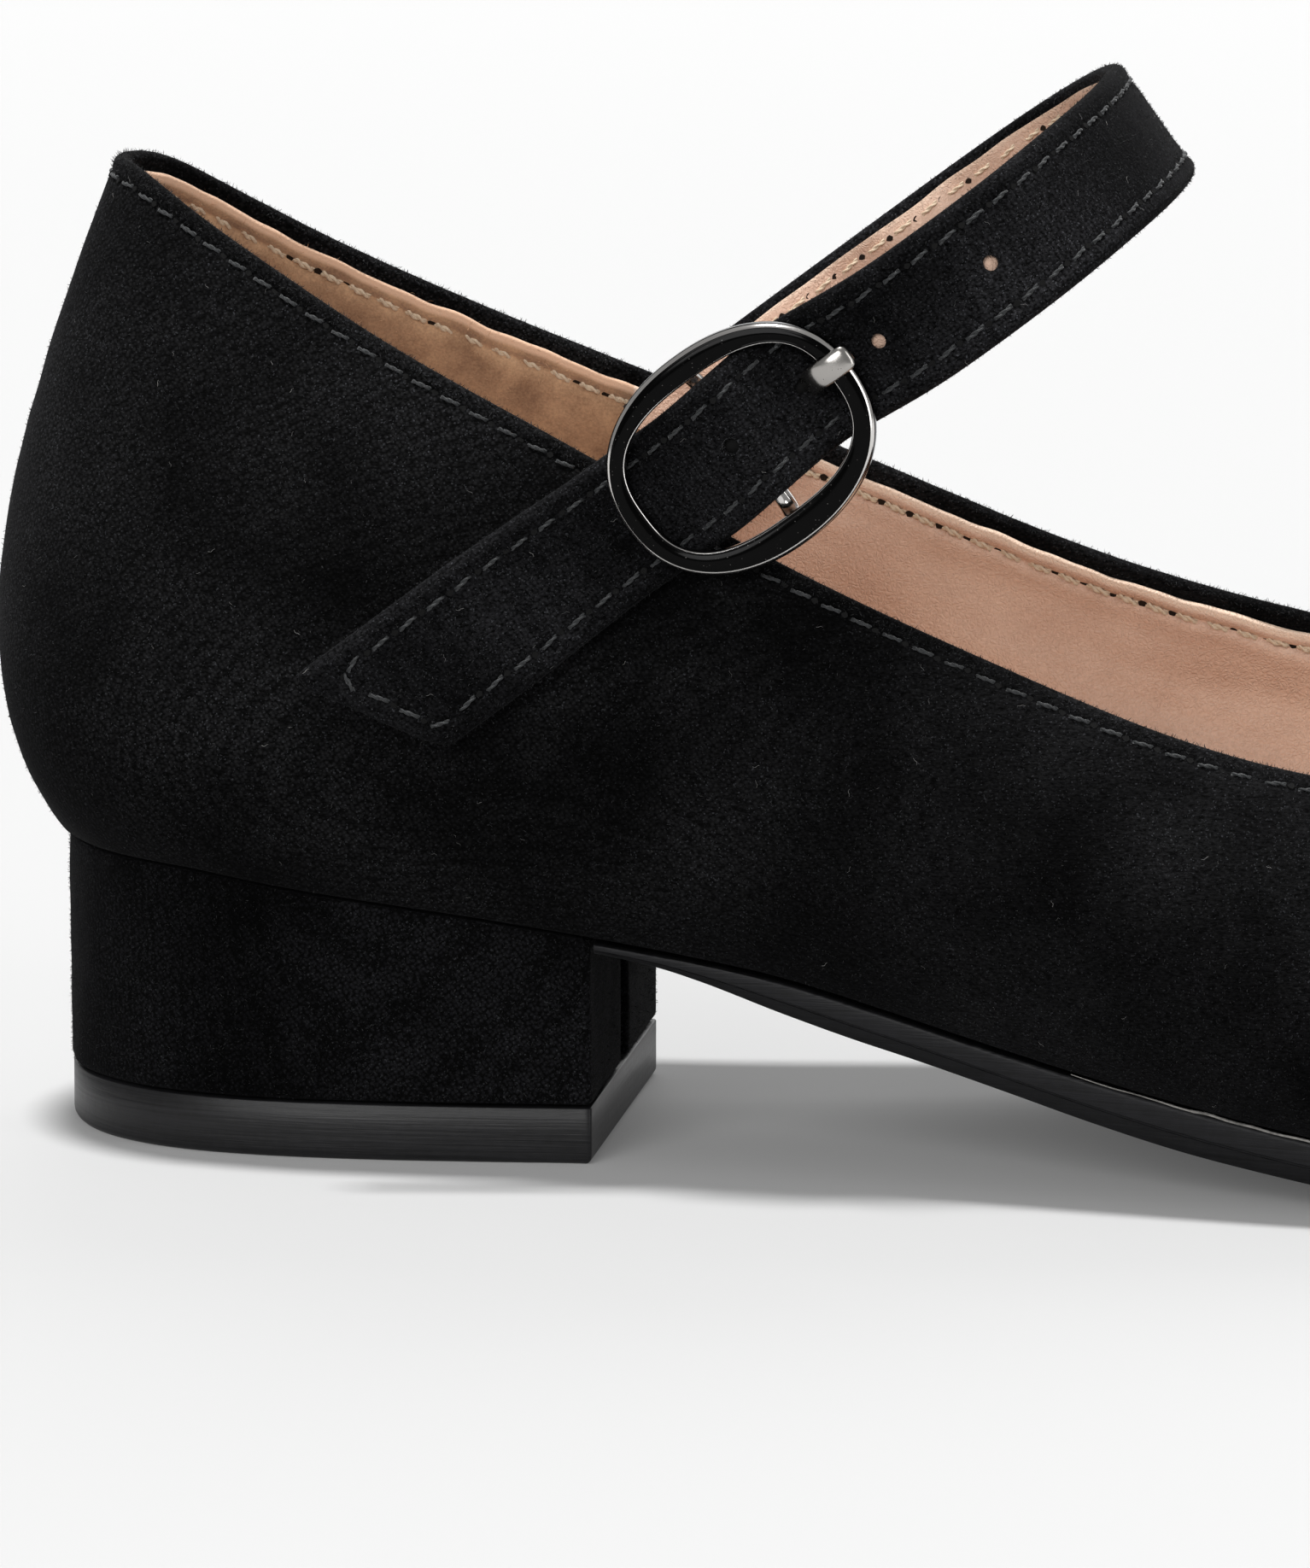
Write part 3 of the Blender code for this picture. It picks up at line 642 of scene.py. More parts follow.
@dataclass(frozen=True)
class BlackNickel(Finish):
    """Zinc alloy plated with black nickel: a dark mirror with faint dust specks and swirls."""

    name: str = "black_nickel"
    colour: str = "#131313"
    speck: str = "#5d5b59"
    roughness: float = 0.1
    speck_size: float = 0.3
    swirl_size: float = 2.4

    def shader(self, add: Adder, coords: Sockets) -> Node:
        """A polish that varies in swirls, and small dull specks here and there.

        Args:
            add: Adds a node to the material's tree.
            coords: What its Texture Coordinate node gives.

        Returns:
            The shader that the nodes end in.
        """
        place = coords["Object"]
        dust = add("TexVoronoi", {"Vector": place, "Scale": per_metre(self.speck_size), "Randomness": 1.0})
        chance = add("SeparateXYZ", {0: dust.outputs["Color"]})
        near = add("MapRange", {
            "Value": dust, "From Min": 0.08, "From Max": 0.2, "To Min": 1.0, "To Max": 0.0})
        some = add("Math", {0: chance, 1: 0.82}, operation="GREATER_THAN")
        specks = add("Math", {0: near, 1: some}, operation="MULTIPLY")
        swirl = add("TexNoise", {"Vector": place, "Scale": per_metre(self.swirl_size), "Detail": 4.0})
        polish = add("MapRange", {
            "Value": swirl, "To Min": self.roughness * 0.75, "To Max": self.roughness * 1.35})
        dull = add("Math", {0: specks, 1: 0.35, 2: polish}, operation="MULTIPLY_ADD")
        tone = add("Mix", {0: specks, 6: rgba(self.colour), 7: rgba(self.speck)}, data_type="RGBA")
        bump = add("Bump", {"Height": swirl, "Strength": 0.25, "Distance": 0.02 * MM})
        return add("BsdfPrincipled", {"Base Color": tone, "Metallic": 1.0, "Roughness": dull, "Normal": bump})


@dataclass(frozen=True)
class MouldedSole(Finish):
    """Black thermoplastic rubber, moulded and trimmed: satin, with fine streaks along the cut edge."""

    name: str
    colour: str
    streak: str
    roughness: float
    streak_height: float = 0.22     # from streak to streak, across them
    streak_length: float = 9.0
    pebble: float = 0.9
    lozenge: float = 0.0            # pitch of the tread's crossing ribs, or 0 for none
    rib_slope: float = 58.0
    shine: float = 0.2

    def shader(self, add: Adder, coords: Sockets) -> Node:
        """Level streaks over a fine pebble, and the tread's crossing ribs where it has them.

        Args:
            add: Adds a node to the material's tree.
            coords: What its Texture Coordinate node gives.

        Returns:
            The shader that the nodes end in.
        """
        place, long = coords["Object"], self.streak_height / self.streak_length
        level = add("Mapping", {"Vector": place, "Scale": (long, long, 1.0)})
        streaks = add("TexNoise", {
            "Vector": level, "Scale": per_metre(self.streak_height), "Detail": 3.0, "Roughness": 0.6})
        scuffs = add("TexNoise", {"Vector": place, "Scale": per_metre(self.pebble), "Detail": 3.0})
        marks = add("Mix", {0: 0.3, 2: streaks, 3: scuffs}, data_type="FLOAT")
        shown = add("MapRange", {"Value": marks, "From Min": 0.35, "From Max": 0.7})
        tone = add("Mix", {0: shown, 6: rgba(self.colour), 7: rgba(self.streak)}, data_type="RGBA")
        gloss = add("MapRange", {
            "Value": marks, "To Min": self.roughness * 0.8, "To Max": self.roughness * 1.25})
        bump = add("Bump", {"Height": marks, "Strength": 0.7, "Distance": 0.1 * MM})
        for slope in (-self.rib_slope, self.rib_slope) if self.lozenge else ():
            leaning = add("Mapping", {
                "Vector": place, "Rotation": (0.0, 0.0, math.radians(slope)), "Scale": (1.0, 1.0, 0.0)})
            ribs = add("TexWave", {"Vector": leaning, "Scale": WAVE_SCALE * per_metre(self.lozenge)})
            grooves = add("MapRange", {"Value": ribs.outputs["Fac"], "From Min": 0.05, "From Max": 0.3})
            bump = add("Bump", {"Height": grooves, "Strength": 1.0, "Distance": 0.35 * MM, "Normal": bump})
        return add("BsdfPrincipled", {
            "Base Color": tone, "Roughness": gloss, "Normal": bump, "Specular IOR Level": self.shine})


@dataclass(frozen=True)
class RibbedElastic(Finish):
    """Black woven elastic: raised ribs along the band with fine threads across them.

    The surface map gives millimetres along and across the band.
    """

    name: str = "black_ribbed_elastic"
    # painted shade: the hollows between ribs and threads are coloured darker than the rib tops
    valley_shade: str = "#070707"
    rib_colour: str = "#2b2b2d"
    rib: float = 1.05           # from rib to rib
    thread: float = 0.34        # from one cross thread to the next

    def shader(self, add: Adder, coords: Sockets) -> Node:
        """Ribs one way and threads the other, with painted shade in the hollows between them.

        Args:
            add: Adds a node to the material's tree.
            coords: What its Texture Coordinate node gives.

        Returns:
            The shader that the nodes end in.
        """
        ribs = add("TexWave", {
            "Vector": coords["UV"], "Scale": WAVE_SCALE / self.rib, "Distortion": 0.4, "Detail": 1.0},
            bands_direction="Y")
        threads = add("TexWave", {
            "Vector": coords["UV"], "Scale": WAVE_SCALE / self.thread, "Distortion": 1.2, "Detail": 2.0},
            bands_direction="X")
        woven = add("Mix", {0: 0.4, 2: ribs.outputs["Fac"], 3: threads.outputs["Fac"]}, data_type="FLOAT")
        tone = add("Mix", {0: woven, 6: rgba(self.valley_shade), 7: rgba(self.rib_colour)}, data_type="RGBA")
        bump = add("Bump", {"Height": woven, "Strength": 0.8, "Distance": 0.16 * MM})
        return add("BsdfPrincipled", {
            "Base Color": tone, "Roughness": 0.72, "Specular IOR Level": 0.3, "Normal": bump})


@dataclass(frozen=True)
class Fibre(Finish):
    """Loose textile fibre or lint, also used for the painted shade of needle holes: matt, with a colour that
    changes from fibre to fibre.
    """

    name: str
    dark: str
    light: str
    change: float = 3.0

    def shader(self, add: Adder, coords: Sockets) -> Node:
        """One tone or another by place.

        Args:
            add: Adds a node to the material's tree.
            coords: What its Texture Coordinate node gives.

        Returns:
            The shader that the nodes end in.
        """
        chance = add("TexNoise", {
            "Vector": coords["Object"], "Scale": per_metre(self.change), "Detail": 4.0, "Roughness": 0.8})
        spread = add("MapRange", {"Value": chance, "From Min": 0.35, "From Max": 0.65})
        tone = add("Mix", {0: spread, 6: rgba(self.dark), 7: rgba(self.light)}, data_type="RGBA")
        return add("BsdfPrincipled", {"Base Color": tone, "Roughness": 0.8, "Specular IOR Level": 0.2})


class Finishes:
    """Every finish of the shoe, made once."""

    def __init__(self) -> None:
        """Make the materials."""
        self.suede = FauxSuede().make()
        self.heel_suede = FauxSuede(name="black_faux_suede_heel", light="#18181a", tip="#323335",
                                    tuft_length=1.0, weave_share=0.5, rear_share=0.5).make()
        # The strap's copy of the suede is painted lighter than the upper's: painted light, for the strap
        # standing out into the light while the suede beneath it lies in shade.
        self.lit_strap_suede = FauxSuede(name="black_faux_suede_strap", light="#272729", tip="#4b4c50",
                                     tuft_length=1.8, weave_share=0.3, rear_share=0.3).make()
        self.grey_thread = Thread("dark_grey_thread", "#0e0f10", "#26292b").make()
        self.cream_thread = Thread("cream_thread", "#c0a88b", "#dccab2").make()
        # Dark buttons over the needle holes and stitch holes: painted shade of the holes.
        self.needle_hole = Fibre("needle_hole_shade", "#140d08", "#24180f").make()
        self.stitch_hole = Fibre("stitch_hole_shade", "#010101", "#050505").make()
        self.brushed_lining = LiningHide("brushed_beige_lining", "#8d6a4e", "#c49d79", "#dfb799",
                                         roughness=0.9, pore=0.45, pore_depth=0.03, cloud=4.0,
                                         wrinkle_depth=0.25, sheen=0.25).make()
        self.smooth_lining = LiningHide("smooth_beige_lining", "#c9a48e", "#e3c2ac", "#e8cbb4",
                                        roughness=0.5, pore=0.5, pore_depth=0.09, cloud=18.0,
                                        wrinkle=9.0, wrinkle_depth=5.0, sheen=0.05).make()
        self.sock = LiningHide("beige_sock", "#9d806b", "#ad907a", "#ad907a",
                               roughness=0.55, pore=0.9, pore_depth=0.04, cloud=24.0,
                               wrinkle_depth=0.3).make()
        self.nickel = BlackNickel().make()
        # A pale copy of the black nickel: painted highlight lines on the rim's bevels, and the colour of the
        # bar.
        self.pale_highlight_nickel = BlackNickel(name="polished_black_nickel", colour="#d4d1ce",
                                           roughness=0.14).make()
        self.prong_nickel = BlackNickel(name="prong_nickel", colour="#a8a5a1", roughness=0.22).make()
        self.sole = MouldedSole("black_sole_rubber", "#080809", "#19191b", roughness=0.5).make()
        self.tread = MouldedSole("sole_tread_rubber", "#141415", "#242426", roughness=0.55, streak_height=0.5,
                                 streak_length=1.0, lozenge=3.4).make()
        self.sole_band = MouldedSole("sole_edge_ink", "#09090a", "#1c1c1f", roughness=0.44).make()
        self.lift = MouldedSole("dark_lift_plastic", "#0e0e0f", "#1e1e20", roughness=0.4,
                                streak_height=0.3, streak_length=14.0, shine=0.3).make()
        self.elastic = RibbedElastic().make()
        self.nap = Fibre("nap_fibres", "#0a0a0a", "#353536", change=0.6).make()
        self.beige_nap = Fibre("beige_nap_fibres", "#a57c5c", "#e0bd9a", change=2.0).make()
        self.lint = Fibre("pale_lint", "#48484a", "#9c9a97", change=5.0).make()
        self.pale_cord = Fibre("feather_line_thread", "#5c5b59", "#b4b1ac", change=4.0).make()


# ---- the last
FOOT_LINE = (           # station and height of the upper's lower edge
    (-2.0, 30.7), (10.0, 30.4), (22.0, 29.9), (37.0, 27.9), (52.0, 25.9), (66.0, 23.7), (84.5, 20.4),
    (95.0, 17.7), (107.0, 14.5), (117.0, 12.1), (128.0, 9.8), (141.0, 7.5), (154.0, 5.7), (166.0, 4.8),
    (180.0, 4.7), (195.0, 5.6), (212.0, 7.6), (230.0, 10.4), (250.0, 14.0),
)
TREAD_LINE = (          # station and height of the outsole's underside
    (60.0, 23.4), (66.0, 22.4), (72.7, 21.0), (77.3, 19.6), (85.4, 16.7), (93.0, 14.3), (99.6, 12.5),
    (109.2, 9.8), (118.6, 7.2), (128.0, 5.0), (136.0, 3.6), (146.0, 2.1), (156.0, 0.8), (165.0, 0.0),
    (184.0, 0.0), (192.0, 0.4), (204.0, 1.8), (222.0, 4.7), (236.0, 7.2), (250.0, 9.6),
)
foot_height = level_line(FOOT_LINE)
tread_height = level_line(TREAD_LINE)


class Spoke(NamedTuple):
    """One curve up the outside of the upper, from its lower edge ("foot") to the collar ("top").

    low_out and low_up set how it leaves the lower edge, top_out and top_down how it reaches the collar.
    """

    foot_s: float
    foot_y: float
    top_s: float
    top_y: float
    top_z: float
    low_out: float
    low_up: float
    top_out: float
    top_down: float


BACK = Spoke(7.2, 0.0, 12.8, 0.0, 100.8, 12.4, 15.6, 13.0, 34.0)
LATERAL = (
    Spoke(11.2, 14.6, 15.9, 6.4, 100.0, 12.3, 14.0, 12.5, 32.0),
    Spoke(19.5, 22.3, 22.0, 11.4, 96.8, 11.3, 11.0, 11.5, 29.0),
    Spoke(30.0, 25.6, 31.0, 15.6, 91.7, 10.0, 9.5, 10.5, 27.0),
    Spoke(46.0, 26.3, 45.0, 21.0, 84.2, 9.0, 9.5, 9.0, 24.0),
    Spoke(66.0, 25.0, 63.0, 25.4, 75.6, 9.0, 9.0, 7.0, 19.0),
    Spoke(88.0, 25.2, 86.0, 29.4, 64.3, 10.0, 8.0, 6.0, 14.0),
    Spoke(112.0, 29.0, 110.0, 32.6, 54.4, 10.5, 8.0, 6.5, 12.0),
    Spoke(138.0, 35.4, 133.0, 33.6, 46.4, 11.0, 8.0, 8.0, 11.0),
    Spoke(163.0, 39.4, 154.0, 28.6, 42.6, 10.5, 8.5, 13.0, 8.0),
    Spoke(188.0, 37.2, 168.0, 18.0, 42.0, 9.0, 11.0, 21.0, 8.0),
    Spoke(211.0, 30.2, 175.2, 7.6, 42.2, 7.0, 13.5, 29.0, 9.0),
    Spoke(229.5, 19.6, 177.6, -0.6, 42.4, 5.5, 16.0, 34.0, 10.5),
    Spoke(241.8, 6.0, 178.1, -2.6, 42.6, 4.8, 17.0, 36.0, 11.0),
)
TOE = Spoke(245.6, 6.5, 178.2, 5.8, 42.7, 4.5, 17.2, 36.5, 11.0)
MEDIAL = (
    Spoke(11.2, 14.6, 15.9, 6.4, 100.0, 12.3, 14.0, 12.5, 32.0),
    Spoke(19.5, 22.3, 22.0, 11.4, 96.3, 11.3, 11.0, 11.5, 29.0),
    Spoke(30.0, 25.6, 31.0, 15.6, 90.9, 10.0, 9.5, 10.5, 27.0),
    Spoke(46.0, 26.1, 45.0, 21.0, 83.7, 9.0, 9.5, 9.0, 24.0),
    Spoke(66.0, 24.4, 63.0, 25.4, 75.9, 9.0, 9.0, 7.0, 19.0),
    Spoke(88.0, 23.4, 86.0, 29.2, 66.6, 10.5, 9.0, 6.0, 14.0),
    Spoke(113.0, 26.2, 110.0, 32.2, 56.7, 10.5, 8.5, 6.5, 13.0),
    Spoke(139.0, 32.4, 133.0, 34.2, 50.0, 10.0, 8.5, 8.0, 12.0),
    Spoke(164.0, 36.8, 154.0, 31.2, 46.2, 9.5, 9.0, 12.0, 10.0),
    Spoke(189.0, 36.6, 167.5, 24.6, 43.8, 8.5, 11.0, 19.0, 9.0),
    Spoke(214.0, 32.6, 174.8, 17.0, 43.2, 7.0, 13.5, 27.0, 9.5),
    Spoke(233.5, 25.0, 177.2, 12.0, 43.0, 5.5, 16.0, 33.0, 10.5),
    Spoke(242.9, 16.6, 178.0, 8.8, 42.8, 4.8, 17.0, 36.0, 11.0),
)


def plan_outward(loop: Array) -> Array:
    """Unit normals, in plan, of a closed loop that runs anticlockwise seen from above."""
    tangent = unit(np.roll(loop, -1, axis=0)[:, :2] - np.roll(loop, 1, axis=0)[:, :2])
    return np.stack([tangent[:, 1], -tangent[:, 0]], axis=1)


def between(line: Array, stations: tuple[float, float]) -> Array:
    """Numbers of the points of a closed line that lie between two stations, in order along it."""
    inside = (line[:, 0] >= stations[0]) & (line[:, 0] <= stations[1])
    start = int(np.argmax(inside & ~np.roll(inside, 1)))
    return np.roll(np.arange(len(line)), -start)[:int(inside.sum())]


class Last:
    """The outside of the upper as a smooth surface, read by column and by distance below the collar."""

    def __init__(self, columns: int = 1440, samples: int = 161) -> None:
        """Work out the surface.

        Args:
            columns: How many curves run up round the shoe, from the back by the outer side.
            samples: How many points are kept on each curve.
        """
        self.columns = columns
        outer = [spoke._replace(foot_y=-spoke.foot_y, top_y=-spoke.top_y) for spoke in LATERAL]
        rows = np.array([BACK, *outer, TOE, *reversed(MEDIAL)], float)
        ahead = np.roll(rows, -1, axis=0)
        steps = (np.linalg.norm(ahead[:, 0:2] - rows[:, 0:2], axis=1)
                 + np.linalg.norm(ahead[:, 2:5] - rows[:, 2:5], axis=1))
        knots = np.concatenate([[0.0], np.cumsum(steps)])
        wanted = np.linspace(0.0, knots[-1], columns, endpoint=False)
        table = cubic_through(knots, rows, wanted, closed=True)
        self.foot = np.column_stack([table[:, 0], table[:, 1], foot_height(table[:, 0])])
        self.top = table[:, 2:5]
        self.foot_out = plan_outward(self.foot)
        low, high = self.foot.copy(), self.top.copy()
        low[:, :2] += self.foot_out * table[:, 5:6]
        low[:, 2] += table[:, 6]
        high[:, :2] += plan_outward(self.top) * table[:, 7:8]
        high[:, 2] -= table[:, 8]
        share = np.linspace(1.0, 0.0, samples)[None, :, None]
        rest = 1.0 - share
        self.points = (rest ** 3 * self.foot[:, None] + 3 * rest ** 2 * share * low[:, None]
                       + 3 * rest * share ** 2 * high[:, None] + share ** 3 * self.top[:, None])
        down = np.gradient(self.points, axis=1)
        along = np.roll(self.points, -1, axis=0) - np.roll(self.points, 1, axis=0)
        self.normals = unit(np.cross(down, along))
        self.below = run_length(self.points)
        self.length = self.below[:, -1]

    def read(self, columns: Array, below: Array) -> tuple[Array, Array]:
        """Points and normals at distances below the collar.

        Args:
            columns: Whole column numbers.
            below: Distances in millimetres, one row for each column.

        Returns:
            Points and unit normals, each with one row of places for each column.
        """
        pairs = list(zip(columns, below))
        places = [read_rows(wanted, self.below[column], self.points[column]) for column, wanted in pairs]
        ways = [read_rows(wanted, self.below[column], self.normals[column]) for column, wanted in pairs]
        return np.array(places), unit(np.array(ways))

    def line(self, below: float, depth: float) -> tuple[Array, Array]:
        """A closed line round the shoe, below the collar and under the surface, and its normals."""
        places, ways = self.read(np.arange(self.columns), np.full((self.columns, 1), below))
        return places[:, 0] - ways[:, 0] * depth, ways[:, 0]


class Outline:
    """The upper's lower edge moved inwards, read as two sides along the shoe."""

    def __init__(self, last: Last, inset: float, loop: Optional[Array] = None) -> None:
        """Work out the outline.

        Args:
            last: The surface whose lower edge it follows.
            inset: How far inwards, in millimetres.
            loop: Another closed loop, one point a column, to follow in place of the lower edge.
        """
        loop = (last.foot[:, :2] if loop is None else loop) - last.foot_out * inset
        start, toe = int(np.argmin(loop[:, 0])), int(np.argmax(loop[:, 0]))
        loop = np.roll(loop, -start, axis=0)
        toe = (toe - start) % last.columns
        self.outer, self.inner = loop[:toe + 1], np.vstack([loop[toe:], loop[:1]])[::-1]
        self.back, self.toe = float(loop[0, 0]), float(loop[toe, 0])

    def sides(self, station: Array) -> tuple[Array, Array]:
        """y of the outer and of the inner side at one station or several."""
        return (np.interp(station, self.outer[:, 0], self.outer[:, 1]),
                np.interp(station, self.inner[:, 0], self.inner[:, 1]))


class Soft(NamedTuple):
    """A soft trough (depth over 0) or ridge (under 0) in the suede, with its middle and its run."""

    station: float
    side: float
    height: float
    run: tuple[float, float, float]
    half_length: float
    half_width: float
    depth: float


CREASES = (             # how the suede sits over the stiffener, the vamp and the toe
    Soft(49.0, -22.0, 77.0, (1.0, 0.0, -0.75), 12.0, 3.2, 0.40),
    Soft(31.0, -19.0, 84.0, (1.0, 0.0, -0.6), 11.0, 4.0, 0.25),
    Soft(25.0, -27.0, 43.0, (0.1, 0.0, 1.0), 9.0, 3.5, 0.35),
    Soft(33.0, -28.0, 58.0, (0.4, 0.0, 1.0), 13.0, 4.5, -0.25),
    Soft(60.0, -27.0, 58.0, (1.0, 0.0, -0.5), 15.0, 4.0, 0.28),
    Soft(80.0, -31.0, 42.0, (1.0, 0.0, -0.3), 20.0, 5.0, -0.25),
    Soft(104.0, -33.0, 38.0, (1.0, 0.0, -0.35), 16.0, 3.5, 0.28),
    Soft(118.0, -36.0, 27.0, (1.0, 0.0, -0.45), 18.0, 3.5, 0.22),
    Soft(16.0, 17.0, 52.0, (0.2, 0.0, 1.0), 12.0, 4.0, 0.30),
    Soft(52.0, 28.0, 60.0, (1.0, 0.0, -0.5), 16.0, 4.0, 0.30),
    Soft(84.0, 32.0, 44.0, (1.0, 0.0, -0.4), 18.0, 4.0, -0.25),
    Soft(112.0, 33.0, 36.0, (1.0, 0.0, -0.3), 18.0, 3.5, 0.30),
    Soft(188.0, -6.0, 40.0, (0.2, 1.0, 0.0), 20.0, 3.0, 0.30),
    Soft(196.0, 10.0, 38.0, (0.1, 1.0, 0.0), 17.0, 2.6, 0.25),
    Soft(176.0, -30.0, 27.0, (0.5, 1.0, 0.4), 10.0, 3.0, 0.30),
    Soft(176.0, 34.0, 27.0, (0.5, -1.0, 0.4), 10.0, 3.0, 0.30),
)


def crease_depth(points: Array) -> Array:
    """How far creases and a faint unevenness press the suede in.

    Args:
        points: Places on the suede in millimetres.

    Returns:
        One depth a place.
    """
    depth = soft_noise(points, 34.0, 3) * 0.13 + soft_noise(points, 13.0, 8) * 0.05
    for crease in CREASES:
        offset = points - np.array([crease.station, crease.side, crease.height])
        run = unit(np.array(crease.run, float))
        along = offset @ run
        across = np.linalg.norm(offset - along[..., None] * run, axis=-1)
        depth += crease.depth * np.exp(-(along / crease.half_length) ** 2 - (across / crease.half_width) ** 2)
    return depth


# ---- repeats
def tree_with(name: str, inputs: dict[str, object]) -> tuple[Tree, Adder, Sockets]:
    """A new Geometry Nodes tree with a geometry in and out, a material and more named inputs.

    Args:
        name: The tree's name.
        inputs: Each input's name with its starting value, or with None for an object.

    Returns:
        The tree, what adds a node to it, and the outputs of its input node.
    """
    tree = bpy.data.node_groups.new(name, "GeometryNodeTree")
    tree.interface.new_socket("Geometry", in_out="INPUT", socket_type="NodeSocketGeometry")
    kinds = {float: "NodeSocketFloat", int: "NodeSocketInt", type(None): "NodeSocketObject"}
    for title, value in inputs.items():
        socket = tree.interface.new_socket(title, in_out="INPUT", socket_type=kinds[type(value)])
        if value is not None:
            socket.default_value = value
    tree.interface.new_socket("Material", in_out="INPUT", socket_type="NodeSocketMaterial")
    tree.interface.new_socket("Geometry", in_out="OUTPUT", socket_type="NodeSocketGeometry")
    add = partial(add_node, tree)
    return tree, add, add("NodeGroupInput").outputs


def place_shapes(add: Adder, given: Sockets, points: Node, shape: str, rotation: Node,
                 sizes: tuple[object, object]) -> None:
    """End a tree: a shape at each point, turned and sized, made real and dressed.

    Args:
        add: Adds a node to the tree.
        given: The outputs of the tree's input node.
        points: Where the shapes go.
        shape: Name of the input that holds the shape.
        rotation: The node that turns them.
        sizes: The smallest and the largest size.
    """
    size = add("FunctionNodeRandomValue", {2: sizes[0], 3: sizes[1], "Seed": given["Seed"]},
                    data_type="FLOAT")
    source = add("GeometryNodeObjectInfo", {"Object": given[shape]})
    placed = add("GeometryNodeInstanceOnPoints", {
        "Points": points, "Instance": source.outputs["Geometry"], "Rotation": rotation, "Scale": size})
    real = add("GeometryNodeRealizeInstances", {"Geometry": placed})
    dressed = add("GeometryNodeSetMaterial", {"Geometry": real, "Material": given["Material"]})
    add("NodeGroupOutput", {0: dressed})


def seam_tree() -> Tree:
    """Geometry Nodes: one stitch at each pitch along a seam line, lying on the surface.

    The line's points carry the attribute "way_out", the surface's direction outwards.

    Returns:
        The tree.
    """
    tree, add, given = tree_with("stitched_seam", {
        "Pitch": 0.0035, "Stitch": None, "Uneven": 0.05, "Seed": 0})
    curve = add("GeometryNodeMeshToCurve", {"Mesh": given["Geometry"]})
    even = add("GeometryNodeResampleCurve", {"Curve": curve, "Length": given["Pitch"]}, mode="LENGTH")
    way_out = add("GeometryNodeInputNamedAttribute", {"Name": "way_out"}, data_type="FLOAT_VECTOR")
    tangent = add("GeometryNodeInputTangent")
    upright = add("FunctionNodeAlignRotationToVector", {"Vector": way_out}, axis="Z")
    turned = add("FunctionNodeAlignRotationToVector", {
        "Rotation": upright, "Vector": tangent}, axis="X", pivot_axis="Z")
    wobble = add("FunctionNodeRandomValue", {
        "Min": (-0.05, -0.05, -0.07), "Max": (0.05, 0.05, 0.07), "Seed": given["Seed"]},
        data_type="FLOAT_VECTOR")
    nudge = add("FunctionNodeEulerToRotation", {0: wobble})
    lean = add("FunctionNodeRotateRotation", {"Rotation": turned, "Rotate By": nudge}, rotation_space="LOCAL")
    shrink = add("Math", {0: 1.0, 1: given["Uneven"]}, operation="SUBTRACT")
    grow = add("Math", {0: 1.0, 1: given["Uneven"]}, operation="ADD")
    place_shapes(add, given, even, "Stitch", lean, (shrink, grow))
    return tree


def fibre_tree() -> Tree:
    """Geometry Nodes: short fibres scattered over a surface, leaning at random.

    Returns:
        The tree.
    """
    tree, add, given = tree_with("scattered_fibres", {
        "Density": 1000.0, "Fibre": None, "Lean": 0.9, "Shortest": 0.5, "Longest": 1.2, "Seed": 0})
    spots = add("GeometryNodeDistributePointsOnFaces", {
        "Mesh": given["Geometry"], "Density": given["Density"], "Seed": given["Seed"]},
        distribute_method="RANDOM")
    low = add("Math", {0: given["Lean"], 1: -1.0}, operation="MULTIPLY")
    least = add("CombineXYZ", {0: low, 1: low, 2: -math.pi})
    most = add("CombineXYZ", {0: given["Lean"], 1: given["Lean"], 2: math.pi})
    turn = add("FunctionNodeRandomValue", {
        "Min": least, "Max": most, "Seed": given["Seed"]}, data_type="FLOAT_VECTOR")
    turned = add("FunctionNodeEulerToRotation", {0: turn})
    lean = add("FunctionNodeRotateRotation", {
        "Rotation": spots.outputs["Rotation"], "Rotate By": turned}, rotation_space="LOCAL")
    place_shapes(add, given, spots, "Fibre", lean, (given["Shortest"], given["Longest"]))
    return tree


def run_tree(carrier: Piece, tree: Tree, values: dict[str, object], name: str) -> Piece:
    """Run a Geometry Nodes tree on an object and keep the result as a plain mesh.

    Args:
        carrier: The object that the tree starts from. It is removed.
        tree: The tree.
        values: A value for each named input.
        name: The new object's name.

    Returns:
        The new object.
    """
    modifier = carrier.modifiers.new(tree.name, "NODES")
    modifier.node_group = tree
    for item in tree.interface.items_tree:
        if item.in_out == "INPUT" and item.name in values:
            modifier[item.identifier] = values[item.name]
    return bake(carrier, name)


@dataclass(frozen=True)
class Seam:
    """One kind of seam: the names of its two pieces, its pitch, its stitch and its needle hole."""

    stitches: str
    holes: str
    pitch: float
    stitch: tuple[float, float, float, float]   # length, radius of a ply, sink of the ends, and slant
    hole: tuple[float, float]                   # radius, and how far it lies ahead of the stitch
    closed: bool                                # whether the line comes round again
    seed: int


